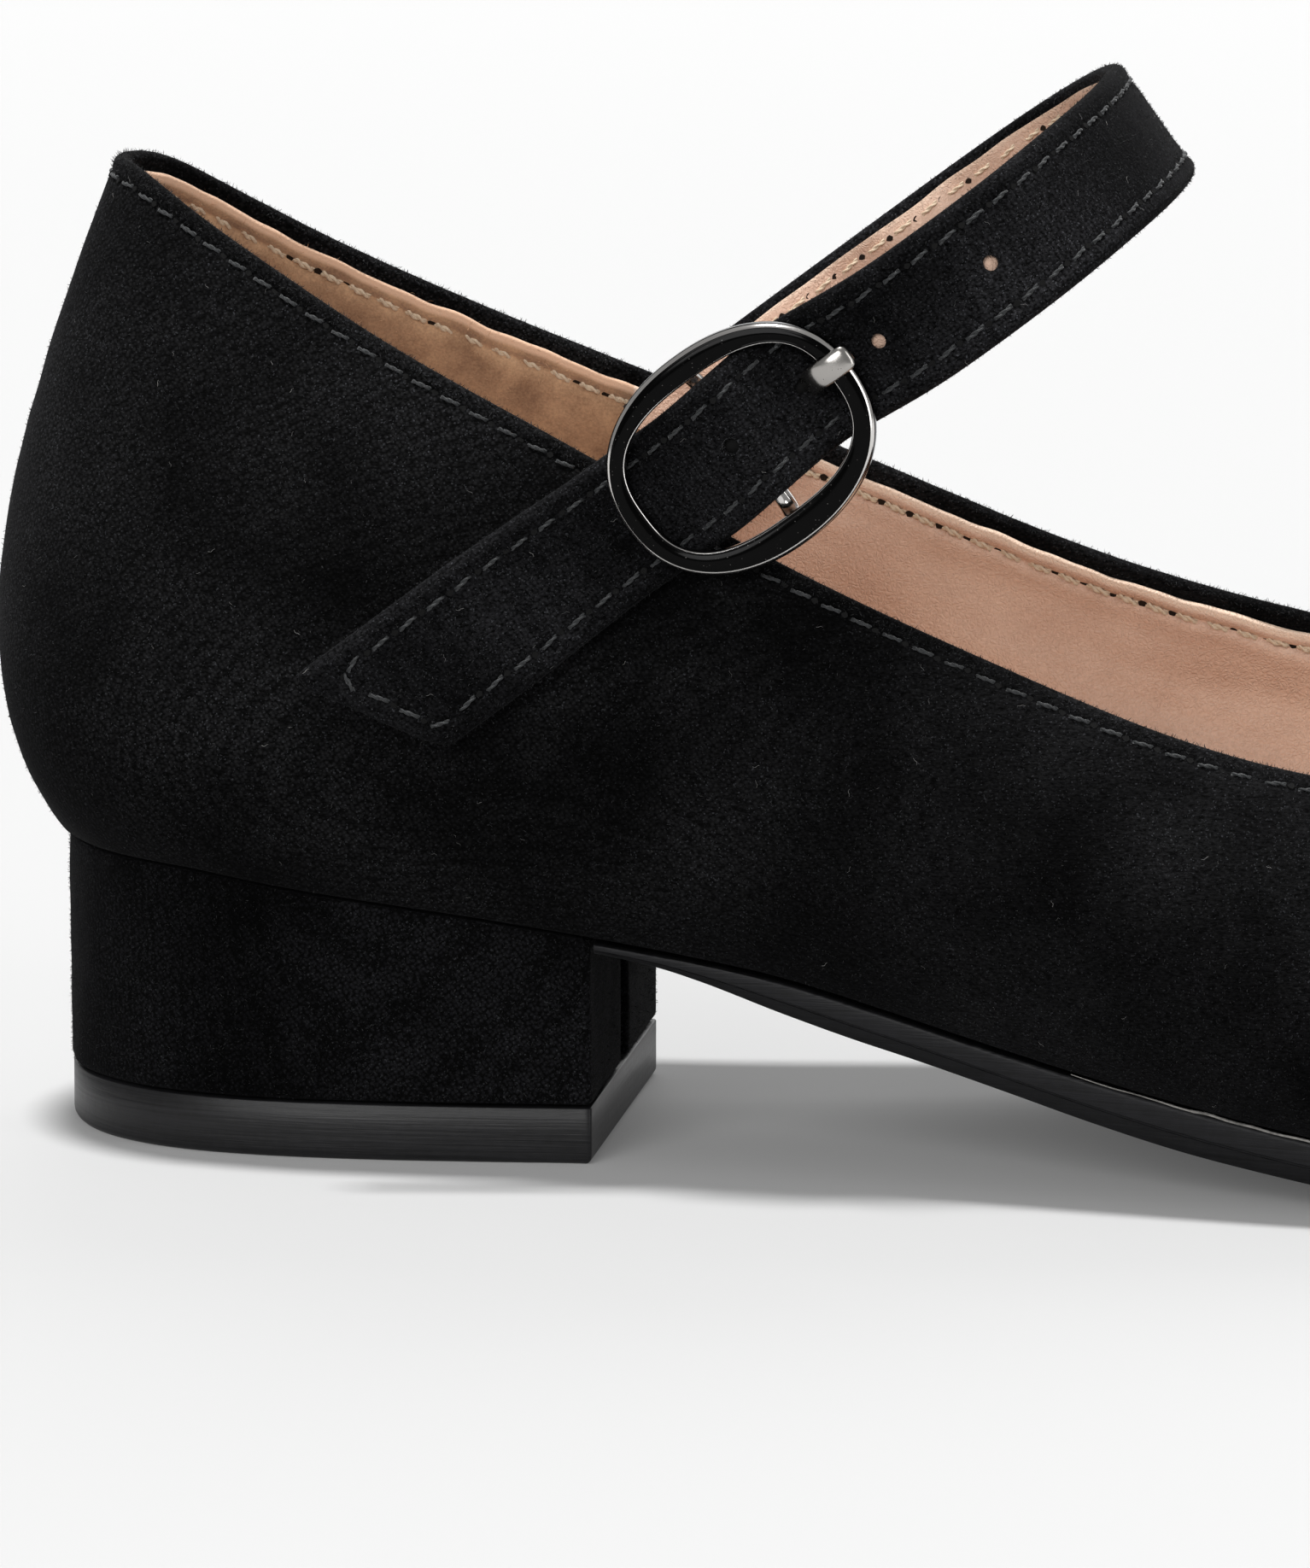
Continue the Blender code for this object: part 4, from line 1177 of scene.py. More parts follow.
class Workbox:
    """The small shapes that are repeated, and the trees that repeat them."""

    def __init__(self) -> None:
        """Build the trees."""
        self.seam = seam_tree()
        self.scatter = fibre_tree()
        self.shapes: list[Piece] = []

    def keep(self, name: str, points: Array, faces: Sequence[Face], outward: bool = True) -> Piece:
        """Build a shape that is repeated, and remember it so that it can be cleared away.

        Args:
            name: The shape's name.
            points: Its points in millimetres about its own middle.
            faces: Its faces.
            outward: Whether the faces are turned to point outwards.

        Returns:
            The shape.
        """
        points = np.asarray(points) + np.array([HEEL_MIDDLE, 0.0, 0.0])
        self.shapes.append(build(name, points, faces, outward=outward))
        return self.shapes[-1]

    def clear(self) -> None:
        """Remove the repeated shapes once nothing needs them."""
        for piece in self.shapes:
            bpy.data.objects.remove(piece, do_unlink=True)
        self.shapes.clear()

    def stitch(self, length: float, radius: float, sink: float, slant: float) -> Piece:
        """One stitch of two twisted plies, whose ends dip into the needle holes.

        Args:
            length: From hole to hole, in millimetres.
            radius: Of one ply.
            sink: How far the ends dip.
            slant: How far it is turned from the seam's line, in degrees.

        Returns:
            The stitch, along x, with z away from the surface.
        """
        share = np.linspace(0.0, 1.0, 11)
        dip = sink * (2.0 * share - 1.0) ** 4
        plies = []
        for start in (0.0, math.pi):
            twist = share * 2.2 * math.pi + start
            middle = np.column_stack([(share - 0.5) * length, 0.85 * radius * np.cos(twist),
                                      0.85 * radius * np.sin(twist) - dip + radius])
            plies.append(tube(middle, radius, 6))
        points, faces = together(plies)
        points[:, 1] += points[:, 0] * math.tan(math.radians(slant))
        return self.keep("stitch", points, faces)

    def needle_hole(self, radius: float, ahead: float) -> Piece:
        """The needle's hole: a low ragged button just over the surface, which carries the hole's painted
        shade.

        Args:
            radius: Its size.
            ahead: How far it lies along the seam from the middle of a stitch.

        Returns:
            The dimple, along x, with z away from the surface.
        """
        sides = 10
        reach = radius * (0.9 + 0.12 * np.sin(4.1 * np.arange(sides)))
        x = ahead + 1.25 * reach * np.cos(full_turn(sides))
        y = reach * np.sin(full_turn(sides))
        points = np.concatenate([np.column_stack([x, y, np.full(sides, z)]) for z in (-0.12, 0.07)])
        faces = grid_faces(2, sides) + [tuple(range(sides, 2 * sides)), tuple(reversed(range(sides)))]
        return self.keep("needle_hole", points, faces)

    def fibre(self, length: float, width: float, curl: float) -> Piece:
        """A short bent blade with a pointed tip that stands for a textile fibre.

        Args:
            length: How far it stands up, in millimetres.
            width: Its width at the root.
            curl: How far its tip leans.

        Returns:
            The blade, with its root at the origin.
        """
        half, middle = width / 2.0, 0.55 * length
        points = [(0.0, -half, 0.0), (0.0, half, 0.0), (0.3 * curl, half, middle),
                  (0.3 * curl, -half, middle), (curl, 0.0, length)]
        return self.keep("fibre", points, [(0, 1, 2, 3), (3, 2, 4)], outward=False)

    def lint(self, length: float, width: float) -> Piece:
        """A loose curved thread of lint that lies on a surface.

        Args:
            length: Its length in millimetres.
            width: Half its thickness.

        Returns:
            The thread, along x.
        """
        share = np.linspace(-0.5, 0.5, 7)
        middle = np.column_stack([
            share * length, 0.45 * length * (share * share - 0.1) + 0.06 * length * np.sin(9.0 * share),
            width + 0.08 * length * np.abs(share)])
        return self.keep("lint", *tube(middle, width, 3))

    def sew(self, name: str, places: Array, ways: Array, pitch: float, shape: Piece, material: Material,
            closed: bool, seed: int) -> Piece:
        """Repeat a shape along a line on a surface.

        Args:
            name: The new piece's name.
            places: Points of the line in millimetres.
            ways: The surface's outward direction at each.
            pitch: From one to the next, in millimetres.
            shape: What is repeated.
            material: Its finish.
            closed: Whether the line comes round again.
            seed: For its small unevenness.

        Returns:
            The new piece as one mesh.
        """
        mesh = bpy.data.meshes.new(name + "_line")
        count = len(places)
        edges = [(i, (i + 1) % count) for i in range(count if closed else count - 1)]
        mesh.from_pydata([Vector(point) for point in to_metres(places)], edges, [])
        layer = mesh.attributes.new("way_out", "FLOAT_VECTOR", "POINT")
        layer.data.foreach_set("vector", np.asarray(ways, np.float32).ravel())
        return run_tree(new_object(name + "_line", mesh), self.seam, {
            "Pitch": pitch * MM, "Stitch": shape, "Uneven": 0.05, "Seed": seed, "Material": material}, name)

    def stitch_seam(self, seam: Seam, line: tuple[Array, Array], thread: Material, hole: Material,
                    slot: str) -> None:
        """Sew a seam: its stitches and its needle holes, each put on the shoe.

        Args:
            seam: The kind of seam.
            line: Its points, and the surface's outward direction at each.
            thread: The finish of the stitches.
            hole: The finish of the needle holes.
            slot: Passed on to settle with both pieces.
        """
        for name, shape, finish in ((seam.stitches, self.stitch(*seam.stitch), thread),
                                    (seam.holes, self.needle_hole(*seam.hole), hole)):
            settle(self.sew(name, *line, seam.pitch, shape, finish, seam.closed, seam.seed), finish, slot)

    def strew(self, name: str, surface: Piece, shape: Piece, per_square_cm: float, lean: float,
              sizes: tuple[float, float], seed: int, material: Material, where: Pick) -> Piece:
        """Scatter fibres over a copy of a surface.

        Args:
            name: The new piece's name.
            surface: The piece that they stand on.
            shape: The fibre.
            per_square_cm: How many on a square centimetre.
            lean: The largest lean, in radians.
            sizes: The smallest and largest size as shares of the shape.
            seed: For the scatter.
            material: Their finish.
            where: Tells which faces have fibres.

        Returns:
            The fibres as one mesh.
        """
        ground = surface.data.copy()
        middles, normals = np.empty(3 * len(ground.polygons)), np.empty(3 * len(ground.polygons))
        ground.polygons.foreach_get("center", middles)
        ground.polygons.foreach_get("normal", normals)
        places = middles.reshape(-1, 3) / MM + np.array([HEEL_MIDDLE, 0.0, 0.0])
        kept = where(places, normals.reshape(-1, 3))
        trimmed = bmesh.new()
        trimmed.from_mesh(ground)
        bare = [face for face, keep in zip(list(trimmed.faces), kept) if not keep]
        bmesh.ops.delete(trimmed, geom=bare, context="FACES")
        trimmed.to_mesh(ground)
        trimmed.free()
        return run_tree(new_object(name + "_ground", ground), self.scatter, {
            "Density": per_square_cm * 1e4, "Fibre": shape, "Lean": lean, "Shortest": sizes[0],
            "Longest": sizes[1], "Seed": seed, "Material": material}, name)


# ---- the upper
@dataclass
class Upper:
    """The suede upper: outer face, rolled collar edge, hidden inner face and turned-in lasting margin."""

    last: Last
    wall: float = 1.7
    columns: int = 480
    near: tuple[float, ...] = (     # distances of the rows from the roll down past the seam
        0.0, 0.3, 0.55, 0.75, 0.9, 1.05, 1.2, 1.35, 1.5, 1.7, 2.0, 2.5, 3.4, 5.0, 7.6)
    rows_below: int = 68
    stitch_below: float = 2.1       # the collar seam, below the collar
    channel_depth: float = 0.16
    roll_swell: float = 0.12        # how far the turned-in edge swells above the seam
    roll_swell_at: float = 1.0      # the middle of that swell, below the collar
    foot_roll: float = 1.0
    inner_near: tuple[float, ...] = (4.0, 1.8)      # distances of the inner face's rows next to the roll
    margin: float = 5.0
    margin_lift: float = 0.12
    margin_thin: float = 0.25       # how much thinner the lasting margin is than the wall
    seam: Seam = Seam("collar_stitches", "collar_needle_holes", 3.5, (2.2, 0.125, 0.26, 6.0), (0.33, 1.6),
                      True, 5)

    def outer_distances(self, length: float) -> Array:
        """Distances below the collar of the outer face's rows on a column of one length."""
        near = np.array(self.near) + self.wall / 2.0
        return np.concatenate([near, np.linspace(near[-1], length - self.foot_roll, self.rows_below)[1:]])

    def pressed(self, points: Array, below: Array, length: Array) -> Array:
        """How far creases and the seam's channel press the suede in, less the swell above the seam.

        Args:
            points: Places on the smooth surface.
            below: Their distances below the collar.
            length: The full length of each column.

        Returns:
            One depth a place.
        """
        fade = np.clip((below - 3.5) / 6.0, 0.0, 1.0) * np.clip((length - below - 1.5) / 4.0, 0.0, 1.0)
        channel = self.channel_depth * np.exp(-((below - self.stitch_below) / GROOVE_HALF) ** 2)
        swell = self.roll_swell * np.exp(-((below - self.roll_swell_at) / SWELL_HALF) ** 2)
        return crease_depth(points) * fade + channel - swell + soft_noise(points, 5.0, 21) * 0.03

    def make(self, work: Workbox, looks: Finishes) -> Piece:
        """Build the suede shell and its seam, and put them on the shoe.

        Args:
            work: What sews the seam.
            looks: The finishes.

        Returns:
            The shell.
        """
        last = self.last
        picked = np.arange(0, last.columns, last.columns // self.columns)
        length = last.length[picked]
        below = np.array([self.outer_distances(one) for one in length])
        places, ways = last.read(picked, below)
        outer = places - ways * self.pressed(places, below, length[:, None])[..., None]

        rim = self.wall / 2.0
        down = unit(places[:, 1] - places[:, 0])
        roll = arc(outer[:, 0] - ways[:, 0] * rim, ways[:, 0] * rim, -down * rim,
                   np.linspace(math.pi, 0.0, 10)[:-1])
        inner_below = np.concatenate([np.linspace(0.98, 0.10, 9)[:, None] * length,
                                      [np.full(len(length), near) for near in self.inner_near]]).T
        inner_places, inner_ways = last.read(picked, np.sort(inner_below, axis=1)[:, ::-1])
        inner = inner_places - inner_ways * self.wall

        foot_down, foot_way = unit(places[:, -1] - places[:, -2]), ways[:, -1] * self.foot_roll
        under = arc(outer[:, -1] - foot_way, foot_way, foot_down * self.foot_roll,
                    np.linspace(0.0, math.pi / 2.0, 6)[1:])
        foot_in = np.column_stack([last.foot_out[picked], np.zeros(len(picked))])
        margin = last.foot[picked] - foot_in * self.margin + np.array([0.0, 0.0, self.margin_lift])
        margin_top = margin + np.array([0.0, 0.0, self.wall - self.margin_thin])

        rows = [margin_top, *inner.swapaxes(0, 1), *roll, *outer.swapaxes(0, 1), *under, margin]
        faces = grid_faces(len(rows), len(picked), round_rows=True)
        upper = build("suede_upper", np.concatenate(rows), faces, sharp=70.0)
        settle(upper, looks.suede, "suede", "upper")
        line = last.line(self.stitch_below, self.channel_depth * 0.7)
        work.stitch_seam(self.seam, line, looks.grey_thread, looks.stitch_hole, "suede")
        return upper


@dataclass
class Lining:
    """One lining inside the upper: a thin skin with a raw, slightly wavy edge below the rolled collar."""

    last: Last
    name: str
    stations: tuple[float, float]   # collar stations between which it runs
    puff: float = 0.0
    seed: int = 1
    drop: float = 1.9               # from the collar to the raw edge
    depth: float = 1.72             # under the suede's surface
    thick: float = 0.62
    wave: float = 0.28
    seam_below: float = 1.9         # from the raw edge to the seam
    groove: float = 0.3             # how deep the seam pulls the lining in
    step: int = 3                   # the last's columns from one of its own to the next
    near: tuple[float, ...] = (     # distances of the rows from the edge down past the seam
        0.0, 0.25, 0.5, 0.8, 1.1, 1.35, 1.55, 1.7, 1.85, 2.0, 2.15, 2.35, 2.6, 3.0, 3.6, 4.5, 6.0)
    rows_below: int = 30

    def swell(self, down: Array, places: Array) -> Array:
        """How far the lining stands inwards: its edge, a puff, the seam's groove and an unevenness.

        Args:
            down: Distances below the raw edge.
            places: The places themselves.

        Returns:
            One height a place.
        """
        swell = self.puff * np.exp(-((down - 5.5) / 3.5) ** 2) + 0.16 * np.exp(-((down - 0.7) / 0.55) ** 2)
        swell += 0.22 * np.exp(-((down - 3.3) / 1.1) ** 2)
        swell -= self.groove * np.exp(-((down - self.seam_below) / GROOVE_HALF) ** 2)
        return swell + soft_noise(places, 16.0, self.seed + 2) * 0.12

    def skin(self, finish: Material) -> Piece:
        """Build the lining and put it on the shoe.

        Args:
            finish: Its finish.

        Returns:
            The lining.
        """
        last, picked = self.last, np.arange(0, self.last.columns, self.step)
        order = picked[between(last.top[picked], self.stations)]
        count = len(order)
        top = last.read(order, np.full((count, 1), self.drop))[0]
        edge = self.drop + self.wave * (soft_noise(top[:, 0], 9.0, self.seed) * 0.6
                                        + soft_noise(top[:, 0], 3.6, self.seed + 1) * 0.3)
        low = (0.995 * last.length[order] - edge)[:, None]
        rest = np.linspace(0.0, 1.0, self.rows_below)[None, 1:]
        down = np.concatenate([np.tile(self.near, (count, 1)),
                               self.near[-1] + (low - self.near[-1]) * rest], axis=1)
        places, ways = last.read(order, edge[:, None] + down)
        inner = places - ways * (self.depth + self.thick + self.swell(down, places))[..., None]
        outer = places - ways * self.depth
        up = unit(places[:, 0] - places[:, 1])
        bead = arc((inner[:, 0] + outer[:, 0]) / 2.0, (outer[:, 0] - inner[:, 0]) / 2.0,
                   up * (self.thick / 2.0), np.linspace(math.pi, 0.0, 6)[1:-1])

        rows = [*inner.swapaxes(0, 1)[::-1], *bead, *outer.swapaxes(0, 1)]
        depths = [*down.T[::-1], *[down[:, 0]] * len(bead), *down.T]
        along = run_length(top[:, 0])
        uv = np.concatenate([np.column_stack([along, depth]) for depth in depths])
        faces = grid_faces(len(rows), count, round_rows=True, round_columns=False)
        faces += [tuple(j * count for j in range(len(rows))),
                  tuple(j * count + count - 1 for j in reversed(range(len(rows))))]
        return settle(build(self.name, np.concatenate(rows), faces, uv=uv), finish, "sock")

    def make(self, work: Workbox, looks: Finishes, finish: Material) -> Piece:
        """Build the lining and its top seam.

        Args:
            work: What sews the seam.
            looks: The finishes of the seam.
            finish: The lining's own finish.

        Returns:
            The lining.
        """
        skin = self.skin(finish)
        seam = Seam(self.name + "_stitches", self.name + "_holes", 3.3, (2.55, 0.2, 0.34, -4.0), (0.42, 1.62),
                    False, self.seed)
        places, ways = self.last.line(self.drop + self.seam_below,
                                      self.depth + self.thick - 0.7 * self.groove)
        part = between(places, self.stations)
        work.stitch_seam(seam, (places[part], -ways[part]), looks.cream_thread, looks.needle_hole, "sock")
        return skin


@dataclass
class Sock:
    """The padded sock on the insole board, with a rounded border against the lining."""

    last: Last
    inset: float = 2.45
    lining: float = 2.3             # from the suede's surface to the lining's inner face
    meets: float = 3.5              # height above the upper's lower edge at which it meets the lining
    seat: float = 2.15              # its underside, above the upper's lower edge
    thick: float = 2.4
    border: float = 2.2
    dish: float = 0.5               # how deep the heel's hollow is
    rows: int = 200
    across: int = 34

    def sheet(self, outline: Outline, padded: bool) -> Array:
        """A grid of points that fills an outline.

        Args:
            outline: What it fills.
            padded: Whether it is the rounded upper face or the flat underside.

        Returns:
            Points by row and by place across.
        """
        stations = outline.back + (outline.toe - outline.back) * (
            0.5 - 0.5 * np.cos(np.linspace(0.0, math.pi, self.rows)))
        outer, inner = outline.sides(stations)
        cross = 0.5 - 0.5 * np.cos(np.linspace(0.0, math.pi, self.across))
        x = np.repeat(stations[:, None], self.across, axis=1)
        y = outer[:, None] + (inner - outer)[:, None] * cross
        places = np.stack([x, y, foot_height(x) + self.seat], axis=-1)
        if padded:
            to_side = np.minimum(cross, 1.0 - cross) * (inner - outer)[:, None]
            to_end = np.minimum(x - outline.back, outline.toe - x)
            near = np.clip(np.minimum(to_side, to_end) / self.border, 0.0, 1.0)
            hollow = self.dish * np.exp(-((x - 36.0) / 22.0) ** 2) * np.clip(to_side / 12.0, 0.0, 1.0)
            places[..., 2] += self.thick * (0.35 + 0.65 * np.sqrt(1.0 - (1.0 - near) ** 2)) - hollow
            places[..., 2] += soft_noise(places, 30.0, 40) * 0.15
        return places

    def make(self, finish: Material) -> Piece:
        """Build the sock and put it on the shoe in place of the plain insole.

        Args:
            finish: Its finish.

        Returns:
            The sock.
        """
        last = self.last
        inner_face = last.points - last.normals * self.lining
        at = np.argmin(np.abs(inner_face[..., 2] - last.foot[:, 2:3] - self.meets), axis=1)
        wide = Outline(last, 0.0, inner_face[np.arange(last.columns), at, :2])
        points, faces = slab(self.sheet(wide, True), self.sheet(Outline(last, self.inset), False))
        uv = np.column_stack([points[:, 0], np.full(len(points), UNCUT)])
        return settle(build("padded_sock", points, faces, uv=uv), finish, "sock", "insole")


# ---- the strap
STRAP_ORIGIN = np.array([82.6, 0.0, 76.4])      # the buckle's middle, on the shoe's centre plane
STRAP_RUN = np.array([0.8, 0.0, 0.6])           # a unit step along the strap
STRAP_WIDE = np.array([0.6, 0.0, -0.8])         # a unit step across it, downwards
INNER_SIDE = np.array([0.0, 1.0, 0.0])


class Bend(NamedTuple):
    """A point of a middle line: distance along the strap from the buckle's middle, side and rise."""

    along: float
    side: float
    rise: float


STRAP_PATH = (              # from the free end, over the instep, to the inner side of the collar
    Bend(-47.2, -35.6, -0.5), Bend(-38.0, -34.3, -0.5), Bend(-28.0, -32.7, -0.5), Bend(-20.0, -31.7, -0.5),
    Bend(-12.6, -31.0, -0.4), Bend(-9.4, -31.1, -0.4), Bend(-4.6, -33.4, -0.5), Bend(0.0, -34.5, -0.9),
    Bend(4.6, -33.4, -1.3), Bend(9.4, -31.1, -1.4), Bend(12.6, -30.8, -1.1), Bend(19.0, -31.3, -0.5),
    Bend(27.0, -31.3, -0.3), Bend(35.0, -28.2, -0.3), Bend(41.5, -20.6, -0.4), Bend(45.8, -10.8, -0.5),
    Bend(47.2, 0.0, -0.7), Bend(45.8, 10.4, -0.9), Bend(41.5, 19.4, -1.1), Bend(34.5, 25.4, -1.3),
    Bend(26.0, 27.6, -1.4), Bend(14.0, 27.6, -1.4), Bend(2.0, 26.3, -1.4), Bend(-6.0, 24.6, -1.4),
    Bend(-12.0, 23.2, -1.4), Bend(-19.0, 22.2, -1.4),
)


def on_strap(along: Array, side: Array, across: Array) -> Array:
    """Points given in the strap's own axes, from the buckle's middle."""
    along, side, across = (np.asarray(part, float)[..., None] for part in (along, side, across))
    return STRAP_ORIGIN + along * STRAP_RUN + side * INNER_SIDE + across * STRAP_WIDE


class BandPath:
    """A strap's middle surface, read by distance from its free end and distance across."""

    def __init__(self, bends: Sequence[Bend], shear: float, end_flare: float, reach: float = 16.0) -> None:
        """Work out the path.

        Args:
            bends: Points of the middle line.
            shear: Slant of the free end, in millimetres over the band's width.
            end_flare: How much wider the free end is, as a share.
            reach: Over this length the slant dies out.
        """
        self.shear, self.end_flare, self.reach = shear, end_flare, reach
        rows = np.array(bends, float)
        knots = run_length(rows[:, :2])
        self.length = float(knots[-1])
        self.known = np.linspace(-8.0, self.length, 1200)
        rows = cubic_through(knots, rows, np.maximum(self.known, 0.0))
        lead = (rows[200] - rows[190]) / (self.known[200] - self.known[190])
        early = self.known < 0.0
        rows[early] = rows[~early][0] + self.known[early][:, None] * lead
        self.rows = rows
        slope = np.gradient(rows, self.known, axis=0)
        self.ways = unit(slope[:, 1:2] * STRAP_RUN - slope[:, 0:1] * INNER_SIDE)

    def read(self, length: Array, share: Array, width: float) -> tuple[Array, Array]:
        """Points and outward directions of the middle surface.

        Args:
            length: Distance from the free end's middle, along the strap.
            share: Place across, from -0.5 at the upper edge to 0.5 at the lower one.
            width: The band's width.

        Returns:
            Points in millimetres and unit directions.
        """
        length, share = np.broadcast_arrays(np.asarray(length, float), np.asarray(share, float))
        slid = length + self.shear * share * np.clip(1.0 - length / self.reach, 0.0, 1.0)
        along, side, rise = np.moveaxis(read_rows(slid, self.known, self.rows), -1, 0)
        flare = 1.0 + self.end_flare * np.clip((30.0 - length) / 14.0, 0.0, 1.0)
        ways = read_rows(slid, self.known, self.ways)
        return on_strap(along, side, rise + width * share * flare), unit(ways)

    def outer_place(self, along: float) -> tuple[Array, Array]:
        """The middle line's point and outward direction on the outer side.

        Args:
            along: Distance along the strap from the buckle's middle.

        Returns:
            The point and the direction.
        """
        outer_part = self.rows[:, 1] < -20.0
        length = np.interp(along, self.rows[outer_part, 0], self.known[outer_part])
        return self.read(length, 0.0, 0.0)


@dataclass
class Strap:
    """The instep strap: suede folded over a soft core, lined in beige, stitched and punched."""

    path: BandPath = BandPath(STRAP_PATH, shear=9.0, end_flare=0.07)
    width: float = 14.1
    half_thick: float = 1.05
    under_share: float = 0.86       # the underside's share of that, where the lining lies
    edge: float = 1.15              # radius of the folded edge
    corner: float = 2.4             # how far round each corner of the free end is cut
    stitch_in: float = 2.3          # the seam's distance from the edge
    end_in: float = 2.6             # the seam's distance from the slanted end
    channel: float = 0.17
    swell: float = 0.12             # how far the folded edge swells outside the seam
    swell_in: float = 1.15          # the middle of that swell, from the edge
    rows: int = 560
    across: int = 47
    lining_half: float = 6.0
    lining_from: float = 3.2        # where the lining starts, from the free end
    hole_radius: float = 0.8
    open_holes: tuple[float, ...] = (31.1, 17.7)    # along the strap from the buckle's middle
    closed_hole: float = -0.2
    prong_hole: float = 8.9
    prong_stretch: float = 1.9      # how far the prong draws its hole out
    seam: Seam = Seam("strap_stitches", "strap_holes", 3.45, (2.2, 0.13, 0.26, 6.0), (0.33, 1.6), False, 8)
    lining_seam: Seam = Seam("strap_lining_stitches", "strap_lining_holes", 3.45, (2.2, 0.13, 0.26, 6.0),
                             (0.33, 1.6), False, 8)

    def skin(self) -> Piece:
        """The suede as one closed mesh, with its seam channel pressed in.

        Returns:
            The mesh's object.
        """
        start = self.edge * (1.0 - np.cos(np.linspace(0.0, math.pi / 2.0, 8)))
        length = np.concatenate([start[:-1], np.linspace(start[-1], self.path.length, self.rows)])
        cross = np.sin(np.linspace(-math.pi / 2.0, math.pi / 2.0, self.across)) * 0.5
        cross = 0.55 * cross + 0.45 * np.linspace(-0.5, 0.5, self.across)
        length, share = np.meshgrid(length, cross, indexing="ij")
        to_side = (0.5 - np.abs(share)) * self.width
        near = np.clip(1.0 - to_side / self.corner, 0.0, 1.0)
        cut = self.corner * (1.0 - np.sqrt(1.0 - near * near)) * np.clip(1.0 - length / 8.0, 0.0, 1.0)
        places, ways = self.path.read(length + 0.6 * cut, share, self.width)
        to_edge = np.minimum(to_side, length)
        fold = np.clip(to_edge / self.edge, 0.0, 1.0)
        half = self.half_thick * np.sqrt(np.clip(1.0 - (1.0 - fold) ** 2, 0.0, 1.0))
        to_end_seam = np.where(to_side > self.stitch_in, np.abs(length - self.end_in), np.inf)
        to_seam = np.minimum(np.abs(to_side - self.stitch_in), to_end_seam)
        press = self.channel * np.exp(-(to_seam / GROOVE_HALF) ** 2)
        swell = self.swell * np.exp(-((to_side - self.swell_in) / SWELL_HALF) ** 2)
        uneven = soft_noise(places, 9.0, 61) * 0.05 + soft_noise(places, 3.5, 62) * 0.025
        inside = np.clip(to_edge / 0.6, 0.0, 1.0)
        upper = places + ways * (half + (swell - press + uneven) * inside)[..., None]
        lower = places - ways * (half * self.under_share)[..., None]
        base = length.size
        end, grid = base - self.across, grid_faces(*length.shape, round_columns=False)
        faces = grid + shifted([face[::-1] for face in grid], base)
        faces += [(a, a + 1, base + a + 1, base + a) for a in range(end, base - 1)]
        points = np.concatenate([upper.reshape(-1, 3), lower.reshape(-1, 3)])
        return build("suede_strap", points, faces, sharp=75.0, merge=0.004)

    def punch(self, skin: Piece) -> Piece:
        """Punch the holes through the suede.

        Args:
            skin: The suede. It is removed.

        Returns:
            The punched suede.
        """
        cutters = []
        for along in (*self.open_holes, self.closed_hole, self.prong_hole):
            stretch = self.prong_stretch if along == self.prong_hole else 1.0
            place, way = self.path.outer_place(along)
            bpy.ops.mesh.primitive_cylinder_add(vertices=28, radius=self.hole_radius * MM, depth=5.0 * MM)
            cutters.append(stand(bpy.context.object, (
                STRAP_WIDE, np.cross(way, STRAP_WIDE) * stretch, way), place))
        return cut_away(skin, cutters)

    def hole_backing(self, name: str, holes: Sequence[float]) -> Piece:
        """What shows inside some of the holes: a low button a little under the suede's face.

        Args:
            name: The piece's name.
            holes: Where the holes are along the strap.

        Returns:
            The buttons as one object.
        """
        buttons, turns = [], full_turn(24)[:, None]
        wide = self.hole_radius + 0.05
        for along in holes:
            place, way = self.path.outer_place(along)
            ring = np.cos(turns) * STRAP_WIDE + np.sin(turns) * unit(np.cross(way, STRAP_WIDE))
            levels = ((-0.75, wide), (0.42, wide), (0.55, self.hole_radius * 0.6))
            points = np.concatenate([place + way * depth + radius * ring for depth, radius in levels])
            buttons.append((points, tube_faces(len(levels), len(turns))))
        points, faces = together(buttons)
        return build(name, points, faces, uv=np.full((len(points), 2), UNCUT))

    def lining(self) -> Piece:
        """The beige lining on the strap's underside, with a slightly wavy raw edge.

        Returns:
            The lining.
        """
        length = np.linspace(self.lining_from, self.path.length, 420)[:, None]
        cross = np.linspace(-1.0, 1.0, 11)
        middle = self.path.read(length, np.zeros((1, 1)), self.width)[0]
        waver = self.lining_half + 0.12 * soft_noise(middle, 7.0, 71)
        grid, out = self.path.read(length, cross * waver / self.width, self.width)
        far = self.under_share * self.half_thick
        lift = 0.22 * np.sqrt(np.clip(1.0 - np.abs(cross) ** 8, 0.0, 1.0))
        points, faces = slab(grid - out * (far + lift)[:, None], grid - out * (far - 0.28))
        edge = (1.0 - np.abs(cross)) * waver + 0.25
        uv = np.stack(np.broadcast_arrays(length, edge), -1).reshape(-1, 2)
        return build("strap_lining", points, faces, uv=np.concatenate([uv, uv]))

    def seam_line(self, depth: float) -> tuple[Array, Array]:
        """The seam as one open line: up one edge, across the slanted end and back along the other.

        Args:
            depth: How far it lies above the middle surface, or under 0 below it.

        Returns:
            Its points, and the direction away from the band at each.
        """
        side = 0.5 - self.stitch_in / self.width
        far = np.linspace(self.path.length - 14.0, self.end_in, 1500)
        cross = np.linspace(-side, side, 90)[1:-1]
        length = np.concatenate([far, np.full(len(cross), self.end_in), far[::-1]])
        share = np.concatenate([np.full(len(far), -side), cross, np.full(len(far), side)])
        places, ways = self.path.read(length, share, self.width)
        return places + ways * depth, ways * math.copysign(1.0, depth)

